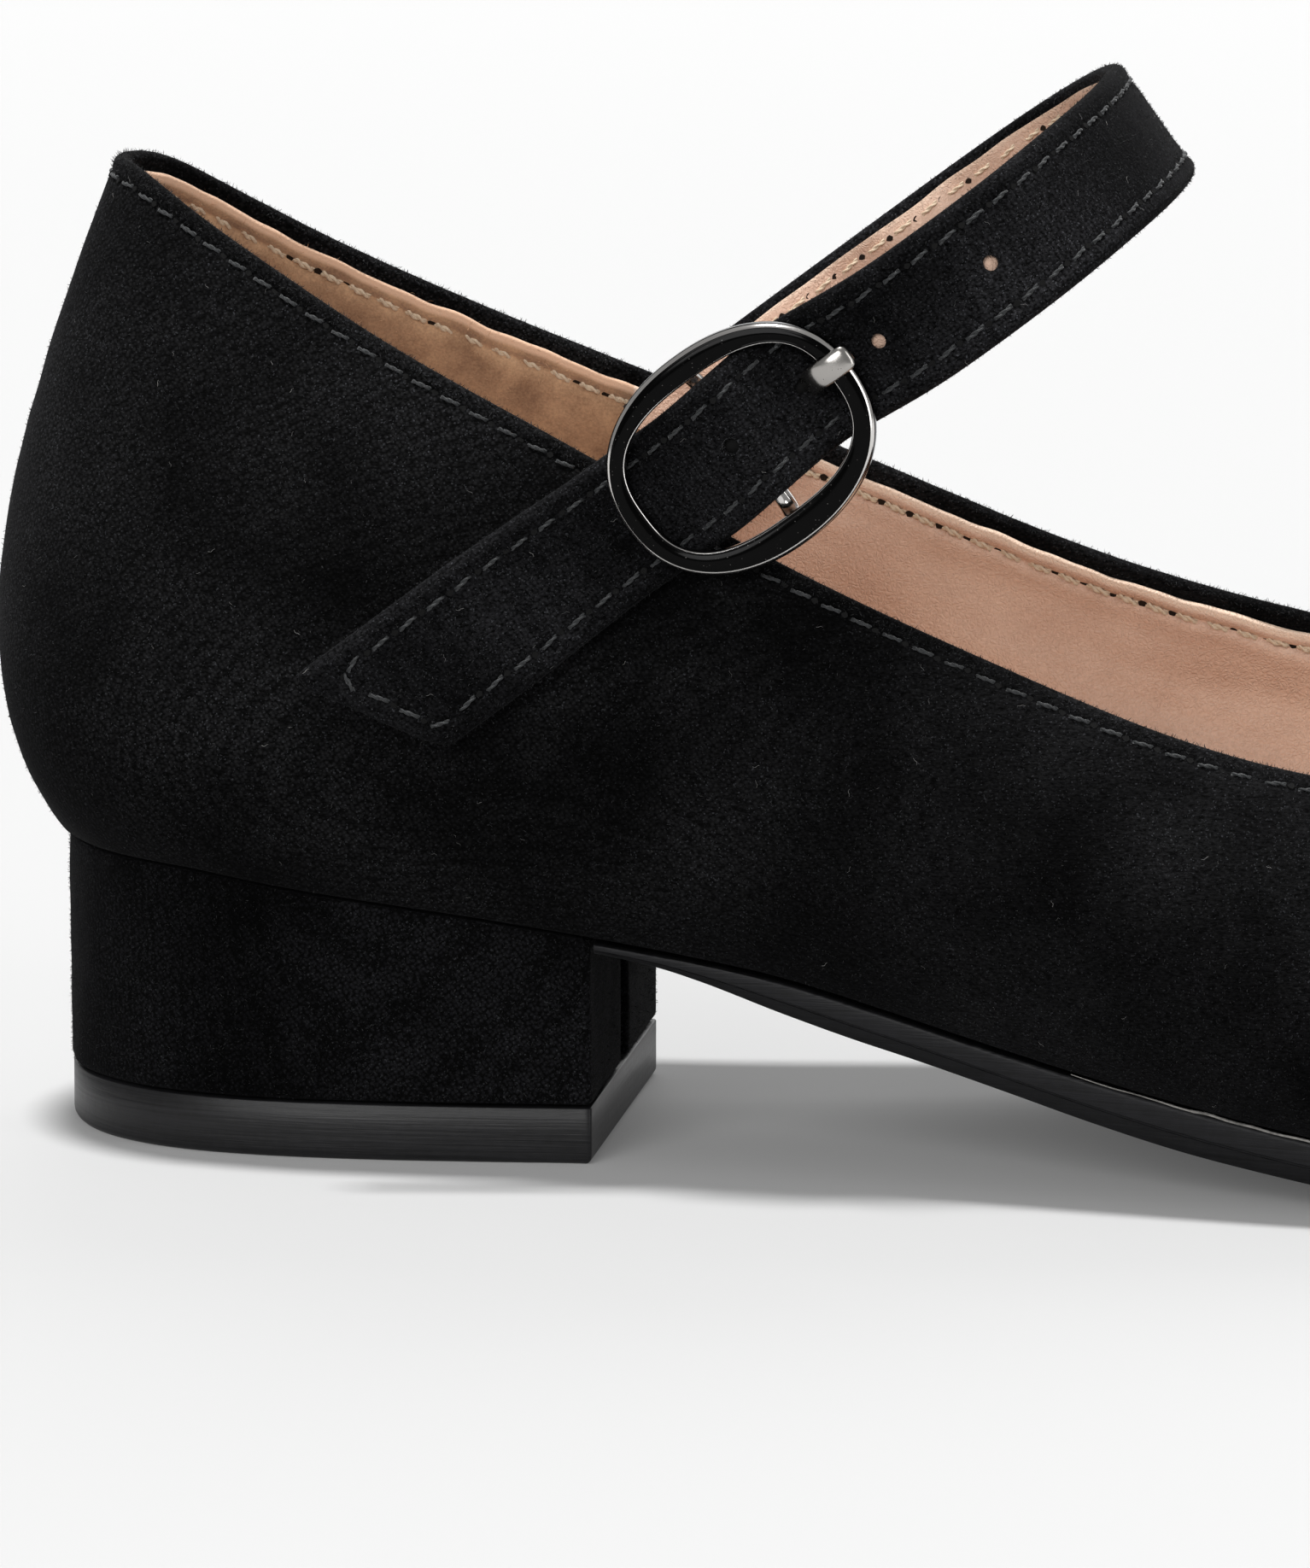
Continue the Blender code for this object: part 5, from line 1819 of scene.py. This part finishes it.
    def fray(self, work: Workbox, finish: Material) -> None:
        """Loose fibre ends round the closed hole.

        Args:
            work: What sets them in a ring.
            finish: Their finish.
        """
        place, way = self.path.outer_place(self.closed_hole)
        turns = full_turn(36)[:, None]
        ring = np.cos(turns) * STRAP_WIDE + np.sin(turns) * unit(np.cross(way, STRAP_WIDE))
        ring = place + way * self.half_thick + (self.hole_radius + 0.08) * ring
        ends = work.sew("hole_fray", ring, np.tile(way, (len(ring), 1)), 0.3, work.fibre(0.45, 0.05, 0.2),
                        finish, True, 12)
        settle(ends, finish, "suede")

    def make(self, work: Workbox, looks: Finishes) -> Piece:
        """Build the strap, its lining, its seams and what shows in its holes.

        Args:
            work: What sews the seams.
            looks: The finishes.

        Returns:
            The suede.
        """
        skin = self.punch(self.skin())
        # The strap takes the lighter copy of the suede, which is painted light.
        settle(skin, looks.lit_strap_suede, "suede", "strap")
        settle(self.lining(), looks.smooth_lining, "sock")
        work.stitch_seam(self.seam, self.seam_line(self.half_thick - self.channel * 0.75),
                         looks.grey_thread, looks.stitch_hole, "suede")
        work.stitch_seam(self.lining_seam, self.seam_line(-self.half_thick * self.under_share - 0.2),
                         looks.cream_thread, looks.needle_hole, "sock")
        settle(self.hole_backing("open_hole_lining", self.open_holes), looks.smooth_lining, "sock")
        # The closed hole and the prong's hole show near-black buttons: painted shade inside the holes.
        settle(self.hole_backing("closed_hole_shade", (self.closed_hole, self.prong_hole - 0.8)),
               looks.stitch_hole, "suede")
        self.fray(work, looks.grey_thread)
        return skin


# ---- the buckle
@dataclass
class Buckle:
    """The oval buckle: a bevelled rim with a bowed centre bar, and a flat prong hinged on the bar."""

    length: float = 28.6
    width: float = 23.0
    power: float = 2.2              # 2 is an ellipse, more is squarer
    side: float = -33.5             # y of the middle of the rim
    bar_radius: float = 0.9
    bar_drop: float = 2.6
    bar_bow: float = 3.2
    prong_width: float = 2.7
    prong_thick: float = 1.0
    gap: float = 0.3
    bar_end_width: float = 3.1      # the rim's width where the bar meets it
    opening_rise: float = 0.25      # how far the opening lies towards the strap's upper edge
    opening_power: float = 2.7      # the opening is squarer than the outline
    prong_lean: float = -1.35       # how far the prong's tip leans across the strap
    prong_line: tuple[tuple[float, float], ...] = (     # along and side, from the eye over the rim
        (3.2, -30.0), (6.2, -29.9), (8.0, -30.5), (9.2, -32.0), (10.1, -33.8), (11.4, -35.15),
        (13.2, -35.55), (15.2, -35.1))
    profile: tuple[tuple[float, float], ...] = (    # inward from the outer edge, and outward of the middle
        (0.28, -0.93), (0.08, -0.82), (0.0, -0.55), (0.0, -0.1), (0.02, 0.28), (0.10, 0.46), (0.26, 0.66),
        (0.44, 0.82), (0.56, 0.89), (0.62, 0.885), (0.70, 0.92), (0.95, 0.99), (1.35, 1.02), (1.75, 0.98),
        (2.02, 0.90), (2.10, 0.86), (2.18, 0.89), (2.28, 0.87), (2.38, 0.79), (2.44, 0.64), (2.46, 0.40),
        (2.46, -0.2), (2.40, -0.6), (2.28, -0.85), (2.0, -0.93), (1.1, -0.95))
    highlight_rows: tuple[int, ...] = (5, 6, 17, 18)     # the profile's bevel rows, coloured pale as painted highlight lines
    edge_row: int = 8                                 # where the outer bevel ends
    crest: float = 2.10                               # where the inner bevel starts
    steps: int = 180

    def eye(self, thick: float, degrees: Array) -> Array:
        """A path round the bar, along and side, for a band of one thickness.

        Args:
            thick: The band's thickness.
            degrees: Where its points lie round the bar.

        Returns:
            The path's points.
        """
        radius = self.bar_radius + self.gap + thick / 2.0
        turns = np.radians(degrees)
        return np.stack([radius * np.cos(turns), self.side + self.bar_drop + radius * np.sin(turns)], -1)

    def oval(self, half_length: float, half_width: float, power: float) -> Array:
        """An oval loop whose points match by direction from one oval to another."""
        c, s = np.cos(full_turn(self.steps)), np.sin(full_turn(self.steps))
        reach = (np.abs(c / half_length) ** power + np.abs(s / half_width) ** power) ** (-1.0 / power)
        return np.stack([c * reach, s * reach], -1)

    def rim(self) -> Solid:
        """The oval rim.

        Returns:
            Its points, one row to each point of the profile, and its faces.
        """
        wide = max(inward for inward, _ in self.profile)
        loop = self.oval(self.length / 2.0, self.width / 2.0, self.power)
        opening = self.oval(self.length / 2.0 - wide, self.width / 2.0 - self.bar_end_width,
                            self.opening_power)
        opening[:, 1] -= self.opening_rise
        out, inner_out = plan_outward(loop), plan_outward(opening)
        edge = self.profile[self.edge_row][0]
        bevel, crest = loop - out * edge, opening + inner_out * (wide - self.crest)
        rows = []
        for inward, lift in self.profile:
            if inward <= edge:
                ring = loop - out * inward
            elif inward <= self.crest:
                ring = bevel + (crest - bevel) * (inward - edge) / (self.crest - edge)
            else:
                ring = opening + inner_out * (wide - inward)
            rows.append(on_strap(ring[:, 0], np.full(len(ring), self.side - lift), ring[:, 1]))
        return np.concatenate(rows), grid_faces(len(rows), len(loop), round_rows=True)

    def bar(self) -> Solid:
        """The bar, which bows inwards under the strap.

        Returns:
            Its points and faces.
        """
        steps, turns = 40, full_turn(18)
        reach = self.width / 2.0 - 1.1
        across = np.linspace(-reach, reach, steps)
        share = np.clip(self.bar_bow * (1.0 - np.abs(across) / reach), 0.0, 1.0)
        bow = self.side + self.bar_drop * share * share * (3.0 - 2.0 * share)
        ring = self.bar_radius * np.stack([np.cos(turns), np.sin(turns)])
        points = on_strap(*np.broadcast_arrays(ring[0], bow[:, None] + ring[1], across[:, None]))
        return points.reshape(-1, 3), tube_faces(steps, len(turns))

    def prong(self) -> Solid:
        """The prong: an eye round the bar, then up through its hole and over the rim.

        Returns:
            Its points and faces.
        """
        path = np.vstack([self.eye(self.prong_thick, np.linspace(10.0, -290.0, 18)), self.prong_line])
        even, line, normal = plane_path(path, 120)
        tip = np.sqrt(np.clip(1.0 - np.clip(1.0 - (even[-1] - even) / 0.9, 0.0, 1.0) ** 2, 0.03, 1.0))
        around = full_turn(20)
        wide = np.sign(np.cos(around)) * np.abs(np.cos(around)) ** 0.8 * self.prong_width / 2.0
        thick = np.sin(around) * self.prong_thick / 2.0
        middle = line[:, None, :] + normal[:, None, :] * (thick * tip[:, None])[..., None]
        rise = np.clip((line[:, 0] - 2.0) / 8.0, 0.0, 1.0)
        across = wide * (0.35 + 0.65 * tip[:, None]) + (self.prong_lean * rise * rise)[:, None]
        points = on_strap(middle[..., 0], middle[..., 1], across)
        return points.reshape(-1, 3), tube_faces(len(line), len(around))

    def make(self, looks: Finishes) -> None:
        """Build the rim with its bar, and the prong.

        Args:
            looks: The finishes.
        """
        points, faces = together([self.rim(), self.bar()])
        frame_piece = build("buckle_rim_and_bar", points, faces, sharp=50.0)
        settle(frame_piece, looks.pale_highlight_nickel, "buckle", "buckle_frame")
        frame_piece.data.materials.append(looks.nickel)
        # The bevel rows and the bar keep the pale copy as painted highlights; the rest of the rim takes the
        # dark black nickel.
        for face, corners in zip(frame_piece.data.polygons, faces):
            row = min(corners) // self.steps
            face.material_index = int(row < len(self.profile) and row not in self.highlight_rows)
        settle(build("buckle_tongue", *self.prong()), looks.prong_nickel, "buckle", "buckle_prong")


@dataclass
class Tab:
    """The ribbed elastic tab that carries the buckle: sewn inside the collar and looped round the bar."""

    buckle: Buckle
    width: float = 9.6
    thick: float = 1.0
    slot: float = 3.6               # width of its slot, where the prong passes
    slot_middle: float = 1.0        # along the strap
    slot_size: tuple[float, float] = (8.0, 12.0)    # how far the cutter reaches along and through
    start: tuple[tuple[float, float], ...] = ((-17.0, -24.0), (-12.5, -23.7), (-8.6, -24.2), (-5.0, -26.9))
    ribs: int = 9
    rib_height: float = 0.06

    def band(self) -> Piece:
        """The whole band as a closed mesh with low ribs and rounded edges.

        Returns:
            The band.
        """
        path = np.vstack([self.start, self.buckle.eye(self.thick, np.linspace(110.0, -150.0, 24))])
        even, line, normal = plane_path(path, 130)
        half = 55
        cross = np.sin(np.linspace(-math.pi / 2.0, math.pi / 2.0, half)) * 0.5
        cross = 0.35 * cross + 0.65 * np.linspace(-0.5, 0.5, half)
        rib = self.rib_height * np.cos(FULL_TURN * self.ribs * cross)
        high = (self.thick / 2.0) * np.sqrt(np.clip(1.0 - np.abs(2.0 * cross) ** 14, 0.0, 1.0)) * (0.94 + rib)
        wide = np.concatenate([cross, cross[::-1][1:-1]]) * self.width
        tall = np.concatenate([high, -high[::-1][1:-1]])
        flat = line[:, None, :] + normal[:, None, :] * tall[None, :, None]
        points = on_strap(flat[..., 0], flat[..., 1], np.broadcast_to(wide, flat.shape[:2]))
        uv = np.stack(np.broadcast_arrays(even[:, None], wide), -1)
        return build("buckle_elastic", points.reshape(-1, 3), tube_faces(len(line), len(wide)),
                     uv=uv.reshape(-1, 2))

    def make(self, looks: Finishes) -> Piece:
        """Build the band, cut its slot and hang it on the shoe.

        Args:
            looks: The finishes.

        Returns:
            The tab.
        """
        band = self.band()
        bpy.ops.mesh.primitive_cube_add(size=MM)
        along, through = self.slot_size
        cutter = stand(bpy.context.object, (STRAP_RUN * along, INNER_SIDE * through, STRAP_WIDE * self.slot),
                       on_strap(self.slot_middle, self.buckle.side + self.buckle.bar_drop, 0.0))
        return settle(cut_away(band, [cutter]), looks.elastic, "elastic", "buckle_tab")


# ---- heel and sole
def smooth_loop(loop: Array, window: float, spacing: float) -> Array:
    """An even closed loop in plan with its corners rounded.

    Args:
        loop: Corners of the loop, as rows of station and y.
        window: How wide the rounding reaches, in millimetres.
        spacing: Distance between the new points.

    Returns:
        The new loop, which starts where the old one did.
    """
    closed = np.vstack([loop, loop[:1]])
    knots = run_length(closed)
    even = np.linspace(0.0, knots[-1], int(round(knots[-1] / spacing)), endpoint=False)
    points = read_rows(even, knots, closed)
    reach = max(1, int(round(window / spacing)))
    weights = np.hanning(2 * reach + 3)[1:-1]
    turned = [np.roll(points, shift, axis=0) for shift in range(-reach, reach + 1)]
    return np.tensordot(weights / weights.sum(), turned, 1)


class Ring(NamedTuple):
    """One level of a heel piece: inset from the outline, rise above the foot and share of the way up."""

    inset: float
    rise: float
    share: float


@dataclass
class Heel:
    """The suede-covered block, grooved down the middle of its front face, and the top lift under it."""

    last: Last
    breast: float = 65.8            # station of the front face
    inset: float = 0.35
    foot_share: float = 0.965       # how wide the foot is against the top
    lift_thick: float = 5.9
    lift_inset: float = 0.2
    gap: float = 0.3
    seat_gap: float = 0.12          # between the block's top and the upper
    slot_half: float = 2.3
    slot_depth: float = 1.4
    cover_corner: float = 1.0
    lift_corner: float = 0.5
    cover_edge: float = 0.55
    spacing: float = 0.36           # from point to point of the outlines
    lift_rings: tuple[Ring, ...] = (
        Ring(0.75, 0.0, 0.0), Ring(0.45, 0.06, 0.0), Ring(0.2, 0.26, 0.0), Ring(0.05, 0.52, 0.0),
        Ring(0.0, 0.85, 0.0), Ring(0.0, 0.85, 0.45), Ring(0.0, 0.12, 1.0), Ring(0.12, 0.0, 1.0))

    def plan(self, inset: float, slotted: bool, window: float) -> Array:
        """The heel's outline in plan, anticlockwise from the middle of its front face.

        Args:
            inset: How far inside the upper's lower edge it runs.
            slotted: Whether it has the groove.
            window: How far its corners are rounded.

        Returns:
            The outline.
        """
        outline = Outline(self.last, inset)
        spread = 1.0 - np.cos(np.linspace(0.0, math.pi / 2.0, 120))
        stations = outline.back + (self.breast - outline.back) * spread
        outer, inner = outline.sides(stations)
        deep, half = self.breast - self.slot_depth, self.slot_half
        front = [(deep, 0.0), (deep, half), (self.breast, half)] if slotted else [(self.breast, 0.0)]
        loop = [*front, *zip(stations[::-1], inner[::-1]), *zip(stations[1:], outer[1:])]
        if slotted:
            loop += [(self.breast, -half), (deep, -half)]
        return smooth_loop(np.array(loop), window, self.spacing)

    def stack(self, name: str, loop: Array, rings: Sequence[Ring], foot: float,
              seat: Callable[[Array], Array], uneven: float) -> Piece:
        """A closed solid of one outline at several levels.

        Args:
            name: The piece's name.
            loop: Its outline in plan.
            rings: Its levels from the lowest up.
            foot: Height of its underside.
            seat: Height of its top at a station.
            uneven: How far its sides swell and sink, in millimetres.

        Returns:
            The object.
        """
        out = plan_outward(loop)
        if np.cross(loop[1] - loop[0], loop[2] - loop[0]) < 0.0 or np.sum(out * (loop - loop.mean(0))) < 0.0:
            out = -out
        rows = []
        for ring in rings:
            flat = loop - out * ring.inset
            top = seat(flat[:, 0])
            height = foot + ring.rise + (top - foot - ring.rise) * ring.share
            if ring.share >= 1.0:
                height = top - ring.rise
            level = np.clip((height - foot) / (top - foot), 0.0, 1.0)
            width = self.foot_share + (1.0 - self.foot_share) * level if uneven > 0.0 else self.foot_share
            row = np.column_stack([flat[:, 0], flat[:, 1] * width, height])
            swell = uneven * soft_noise(row, 11.0, 80) + 0.35 * uneven * soft_noise(row, 4.0, 81)
            row[:, :2] += out * swell[:, None]
            rows.append(row)
        return build(name, np.concatenate(rows), tube_faces(len(rows), len(loop)), sharp=50.0)

    def seat(self, station: Array) -> Array:
        """Height of the block's top, just under the upper."""
        return foot_height(station) - self.seat_gap

    def lift_top(self, station: Array) -> Array:
        """Height of the top lift's upper face."""
        return np.full(np.shape(station), self.lift_thick)

    def make(self, looks: Finishes) -> Piece:
        """Build the covered block and the top lift.

        Args:
            looks: The finishes.

        Returns:
            The block.
        """
        edge, shares = self.cover_edge, np.linspace(0.04, 0.985, 30)
        rings = [Ring(2.5, 0.0, 0.0), Ring(edge, 0.0, 0.0), Ring(edge * 0.3, edge * 0.3, 0.0),
                 Ring(0.0, edge, 0.0), *(Ring(0.0, edge, share) for share in shares),
                 Ring(edge * 0.25, 0.0, 1.0), Ring(2.5, 0.0, 1.0)]
        block = self.stack("covered_heel", self.plan(self.inset, True, self.cover_corner), rings,
                           self.lift_thick + self.gap, self.seat, 0.10)
        settle(block, looks.heel_suede, "suede", "heel_block")
        lift = self.stack("heel_top_lift", self.plan(self.inset + self.lift_inset, False, self.lift_corner),
                          self.lift_rings, 0.0, self.lift_top, 0.0)
        settle(lift, looks.lift, "lift", "top_lift")
        return block


@dataclass
class Sole:
    """The outsole, from the heel's front face to the toe, with an inked band above a bevelled edge."""

    last: Last
    back: float = 66.3
    proud: float = 0.3
    seat_gap: float = 0.22
    steps: int = 300
    band_share: float = 0.44        # how far up the side the inked band starts
    side_rise: float = 0.7          # a face whose normal rises or falls less than this is on the side
    tread_fall: float = 0.8         # a face whose normal falls more than this is tread
    side: tuple[tuple[float, float], ...] = (   # inset from the band's face, and share of the way up
        (1.10, 0.0), (0.72, 0.015), (0.52, 0.08), (0.30, 0.22), (0.12, 0.36), (0.05, 0.405), (0.16, 0.425),
        (0.16, 0.445), (0.03, 0.47), (0.0, 0.52), (0.0, 0.72), (0.0, 0.90), (0.06, 0.965), (0.22, 1.0),
        (0.9, 1.0))
    thread_stations: tuple[float, float] = (116.0, 238.0)
    thread_thick: float = 0.10

    def moulding(self) -> Piece:
        """The outsole as one closed mesh.

        Returns:
            The mesh's object.
        """
        rows = []
        for inset, share in self.side:
            outline = Outline(self.last, inset - self.proud)
            spread = np.sin(np.linspace(0.0, math.pi / 2.0, self.steps))
            stations = self.back + (outline.toe - self.back) * spread
            outer, inner = outline.sides(stations)
            low, high = tread_height(stations), foot_height(stations) - self.seat_gap
            height = low + (high - low) * share
            rows.append(np.concatenate([np.column_stack([stations, outer, height]),
                                        np.column_stack([stations, inner, height])[::-1]]))
        ring = 2 * self.steps
        faces = grid_faces(len(rows), ring)
        top = (len(rows) - 1) * ring
        for i in range(self.steps - 1):
            j, k = ring - 1 - i, ring - 2 - i
            faces += [(i, j, k, i + 1), (top + i, top + i + 1, top + k, top + j)]
        return build("outsole_moulding", np.concatenate(rows), faces, sharp=40.0, merge=0.01)

    def make(self, looks: Finishes) -> None:
        """Build the outsole with its inked band and its tread, and the feather line's thread.

        Args:
            looks: The finishes.
        """
        sole = settle(self.moulding(), looks.sole, "sole", "outsole")
        sole.data.materials.append(looks.sole_band)
        sole.data.materials.append(looks.tread)
        for face in sole.data.polygons:
            middle = face.center / MM
            station = middle.x + HEEL_MIDDLE
            low, high = float(tread_height(station)), float(foot_height(station))
            in_band = middle.z > low + self.band_share * (high - low)
            face.material_index = int(abs(face.normal.z) < self.side_rise and in_band)
            if face.normal.z < -self.tread_fall:
                face.material_index = 2
        self.feather_thread(looks)

    def feather_thread(self, looks: Finishes) -> None:
        """A thin pale thread that shows here and there in the joint between the upper and the sole.

        Args:
            looks: The finishes.
        """
        stations = np.linspace(*self.thread_stations, 480)
        runs = []
        for side, y in enumerate(Outline(self.last, 0.05).sides(stations)):
            line = np.column_stack([stations, y, foot_height(stations) - 0.1])
            line[:, 1] += np.sign(y) * (0.02 + 0.10 * soft_noise(line, 6.0, 90 + side))
            line[:, 2] += 0.07 * soft_noise(line, 4.0, 92 + side)
            thick = self.thread_thick * np.clip(1.0 + 0.8 * soft_noise(line, 12.0, 95), 0.25, 1.6)
            runs.append(tube(line, thick, 5))
        settle(build("feather_line_thread", *together(runs)), looks.pale_cord, "sole")


# ---- loose fibres
def everywhere(places: Array, normals: Array) -> Array:
    """A test that takes every face."""
    return np.ones(len(places), bool)


def upright(places: Array, normals: Array) -> Array:
    """A test that takes faces that stand more or less upright."""
    return np.abs(normals[:, 2]) < 0.6


def outside(places: Array, normals: Array) -> Array:
    """A test for faces that look away from the shoe's middle line and aren't underneath.

    Args:
        places: The faces' middles in millimetres.
        normals: Their normals.

    Returns:
        Whether each face passes.
    """
    spacing, height = 10.0, 40.0
    station = spacing * np.clip(np.round(places[:, 0] / spacing), 2.0, 22.0)
    nearest = np.column_stack([station, np.zeros(len(places)), np.full(len(places), height)])
    return (np.sum((places - nearest) * normals, axis=1) > 0.0) & (normals[:, 2] > -0.75)


def near_line(line: Array, reach: float) -> Pick:
    """A test for faces within reach of a line.

    Args:
        line: The line's points in millimetres.
        reach: How far the test reaches.

    Returns:
        The test.
    """
    tree = KDTree(len(line))
    for number, point in enumerate(line):
        tree.insert(Vector(point), number)
    tree.balance()

    def test(places: Array, normals: Array) -> Array:
        """Whether each face's middle is within reach."""
        return np.array([tree.find(Vector(place))[2] < reach for place in places])

    return test


@dataclass
class Fuzz:
    """Nap fibres that stand on the suede, and a little pale lint that has settled on it."""

    length: float = 0.23
    width: float = 0.045
    lean: float = 1.15
    sizes: tuple[float, float] = (0.5, 1.4)         # the shortest and the longest, as shares
    edge_length: float = 0.34                       # of the fibres on the rolled collar edge
    collar_reach: float = 1.5                       # how far from the collar's line they reach

    def make(self, work: Workbox, looks: Finishes, last: Last, upper: Piece, strap: Piece, heel: Piece,
             lining: Piece) -> None:
        """Scatter the fibres and the lint.

        Args:
            work: What scatters them.
            looks: The finishes.
            last: The upper's smooth surface, for the collar's line.
            upper: The upper's suede.
            strap: The strap's suede.
            heel: The heel's cover.
            lining: The brushed lining.
        """
        blade = work.fibre(self.length, self.width, 0.14)
        edge_blade = work.fibre(self.edge_length, self.width, 0.2)
        hair = work.fibre(0.55, 0.035, 0.3)
        lint = work.lint(0.6, 0.014)
        at_collar = near_line(last.top, self.collar_reach)
        lean, flat = (self.lean, self.sizes), (0.25, self.sizes)
        for name, ground, shape, density, stance, seed, finish, where in (
                ("upper_nap", upper, blade, 165.0, lean, 301, looks.nap, outside),
                ("collar_nap", upper, edge_blade, 1000.0, lean, 304, looks.nap, at_collar),
                ("strap_nap", strap, blade, 600.0, lean, 302, looks.nap, everywhere),
                ("heel_nap", heel, blade, 400.0, lean, 303, looks.nap, upright),
                ("heel_lining_nap", lining, hair, 55.0, (1.3, (0.5, 1.5)), 305, looks.beige_nap, everywhere),
                ("upper_lint", upper, lint, 1.1, flat, 311, looks.lint, outside),
                ("strap_lint", strap, lint, 2.6, flat, 312, looks.lint, everywhere)):
            settle(work.strew(name, ground, shape, density, *stance, seed, finish, where), finish,
                   "sock" if ground is lining else "suede")


# ---- the studio
class Lamp(Enum):
    """The kinds of light in the studio."""

    SOFTBOX = "AREA"
    OPEN_CEILING = "SUN"


@dataclass(frozen=True)
class Light:
    """One soft light: where it stands, what it faces, its two sides or its spread, and its power."""

    name: str
    kind: Lamp
    place: tuple[float, float, float]
    target: tuple[float, float, float]
    size: tuple[float, float]       # two sides in metres, or for an open ceiling its spread in degrees
    power: float

    def make(self) -> Piece:
        """Build the light.

        Returns:
            The light's object.
        """
        lamp = bpy.data.lights.new(self.name, self.kind.value)
        lamp.energy = self.power
        if self.kind is Lamp.SOFTBOX:
            lamp.shape, lamp.size, lamp.size_y = "RECTANGLE", *self.size
        else:
            lamp.angle = math.radians(self.size[0])
        light = new_object(self.name, lamp)
        light.location = Vector(self.place)
        light.rotation_euler = (light.location - Vector(self.target)).to_track_quat("Z", "Y").to_euler()
        return light


@dataclass(frozen=True)
class PaleSweep(Finish):
    """Matt white paper sweep: no gloss, and a faint glow that evens it out."""

    name: str = "pale_sweep"
    colour: str = "#b0b0b0"
    glow: float = 0.08

    def shader(self, add: Adder, coords: Sockets) -> Node:
        """One even colour.

        Args:
            add: Adds a node to the material's tree.
            coords: What its Texture Coordinate node gives.

        Returns:
            The shader.
        """
        return add("BsdfPrincipled", {
            "Base Color": rgba(self.colour), "Roughness": 1.0, "Specular IOR Level": 0.0,
            "Emission Color": rgba("#ffffff"), "Emission Strength": self.glow})


@dataclass
class Studio:
    """A pale sweep, soft light from above, and a long lens a little above the shoe."""

    azimuth: float = 8.3            # degrees round from straight at the shoe's outer side
    elevation: float = 10.5
    distance: float = 1.3
    target: tuple[float, float, float] = (0.03591, -0.027, 0.04062)
    lens: float = 293.1
    sensor: float = 36.0
    floor_size: float = 14.0
    world_light: float = 0.3
    lights: tuple[Light, ...] = (
        Light("open_ceiling", Lamp.OPEN_CEILING, (-0.1, 0.03, 1.0), (0.0, 0.0, 0.0), (7.0, 0.0), 3.7),
        Light("front_ceiling", Lamp.OPEN_CEILING, (-0.25, -1.0, 0.5), (0.0, 0.0, 0.0), (35.0, 0.0), 1.5),
        Light("back_ceiling", Lamp.OPEN_CEILING, (0.1, 0.9, 0.8), (0.0, 0.0, 0.0), (40.0, 0.0), 0.9),
        Light("back_strip", Lamp.SOFTBOX, (0.05, 1.9, 0.75), (0.05, 0.0, 0.0), (2.6, 0.8), 9.0),
        Light("right_strip", Lamp.SOFTBOX, (0.9, -0.35, 0.35), (0.0, -0.02, 0.03), (0.25, 0.9), 2.2),
    )

    def floor(self) -> None:
        """Build the sweep, big enough to fill the view."""
        half = self.floor_size / 2.0
        mesh = bpy.data.meshes.new("sweep")
        mesh.from_pydata([(-half, -half, 0.0), (half, -half, 0.0), (half, half, 0.0), (-half, half, 0.0)],
                         [], [(0, 1, 2, 3)])
        mesh.materials.append(PaleSweep().make())
        floor = new_object("sweep", mesh)
        floor.visible_diffuse = False       # the black suede isn't filled with light from below

    def surroundings(self) -> None:
        """Build the plain, even light all round."""
        world = bpy.data.worlds.new("plain_surroundings")
        world.use_nodes = True
        world.node_tree.nodes.clear()
        add = partial(add_node, world.node_tree)
        glow = add("Background", {"Color": rgba("#ffffff"), "Strength": self.world_light})
        add("OutputWorld", {"Surface": glow})
        bpy.context.scene.world = world

    def camera(self) -> None:
        """Build the camera, on a long lens with everything in focus."""
        turn, rise = math.radians(self.azimuth), math.radians(self.elevation)
        back = Vector((math.sin(turn) * math.cos(rise), -math.cos(turn) * math.cos(rise), math.sin(rise)))
        optics = bpy.data.cameras.new("camera")
        optics.lens, optics.sensor_width, optics.sensor_fit = self.lens, self.sensor, "AUTO"
        optics.clip_end = 50.0
        optics.dof.use_dof = False
        camera = new_object("camera", optics)
        camera.location = Vector(self.target) + back * self.distance
        camera.rotation_euler = back.to_track_quat("Z", "Y").to_euler()
        bpy.context.scene.camera = camera

    def make(self) -> None:
        """Build the floor, the lights, the surroundings and the camera, and show colours as they are."""
        self.floor()
        for light in self.lights:
            light.make()
        self.surroundings()
        bpy.context.scene.view_settings.view_transform = "Standard"
        self.camera()


# ---- the whole scene
def main() -> None:
    """Build the shoe and the studio."""
    Studio().make()
    looks, work, last = Finishes(), Workbox(), Last()
    upper = Upper(last).make(work, looks)
    heel_lining = Lining(last, "heel_lining", (0.0, 65.0), puff=0.5, seed=31)
    brushed = heel_lining.make(work, looks, looks.brushed_lining)
    Lining(last, "forepart_lining", (63.0, 300.0), seed=35).make(work, looks, looks.smooth_lining)
    Sock(last).make(looks.sock)
    strap = Strap().make(work, looks)
    buckle = Buckle()
    buckle.make(looks)
    Tab(buckle).make(looks)
    heel = Heel(last).make(looks)
    Sole(last).make(looks)
    Fuzz().make(work, looks, last, upper, strap, heel, brushed)
    work.clear()


if __name__ == "__main__":
    main()
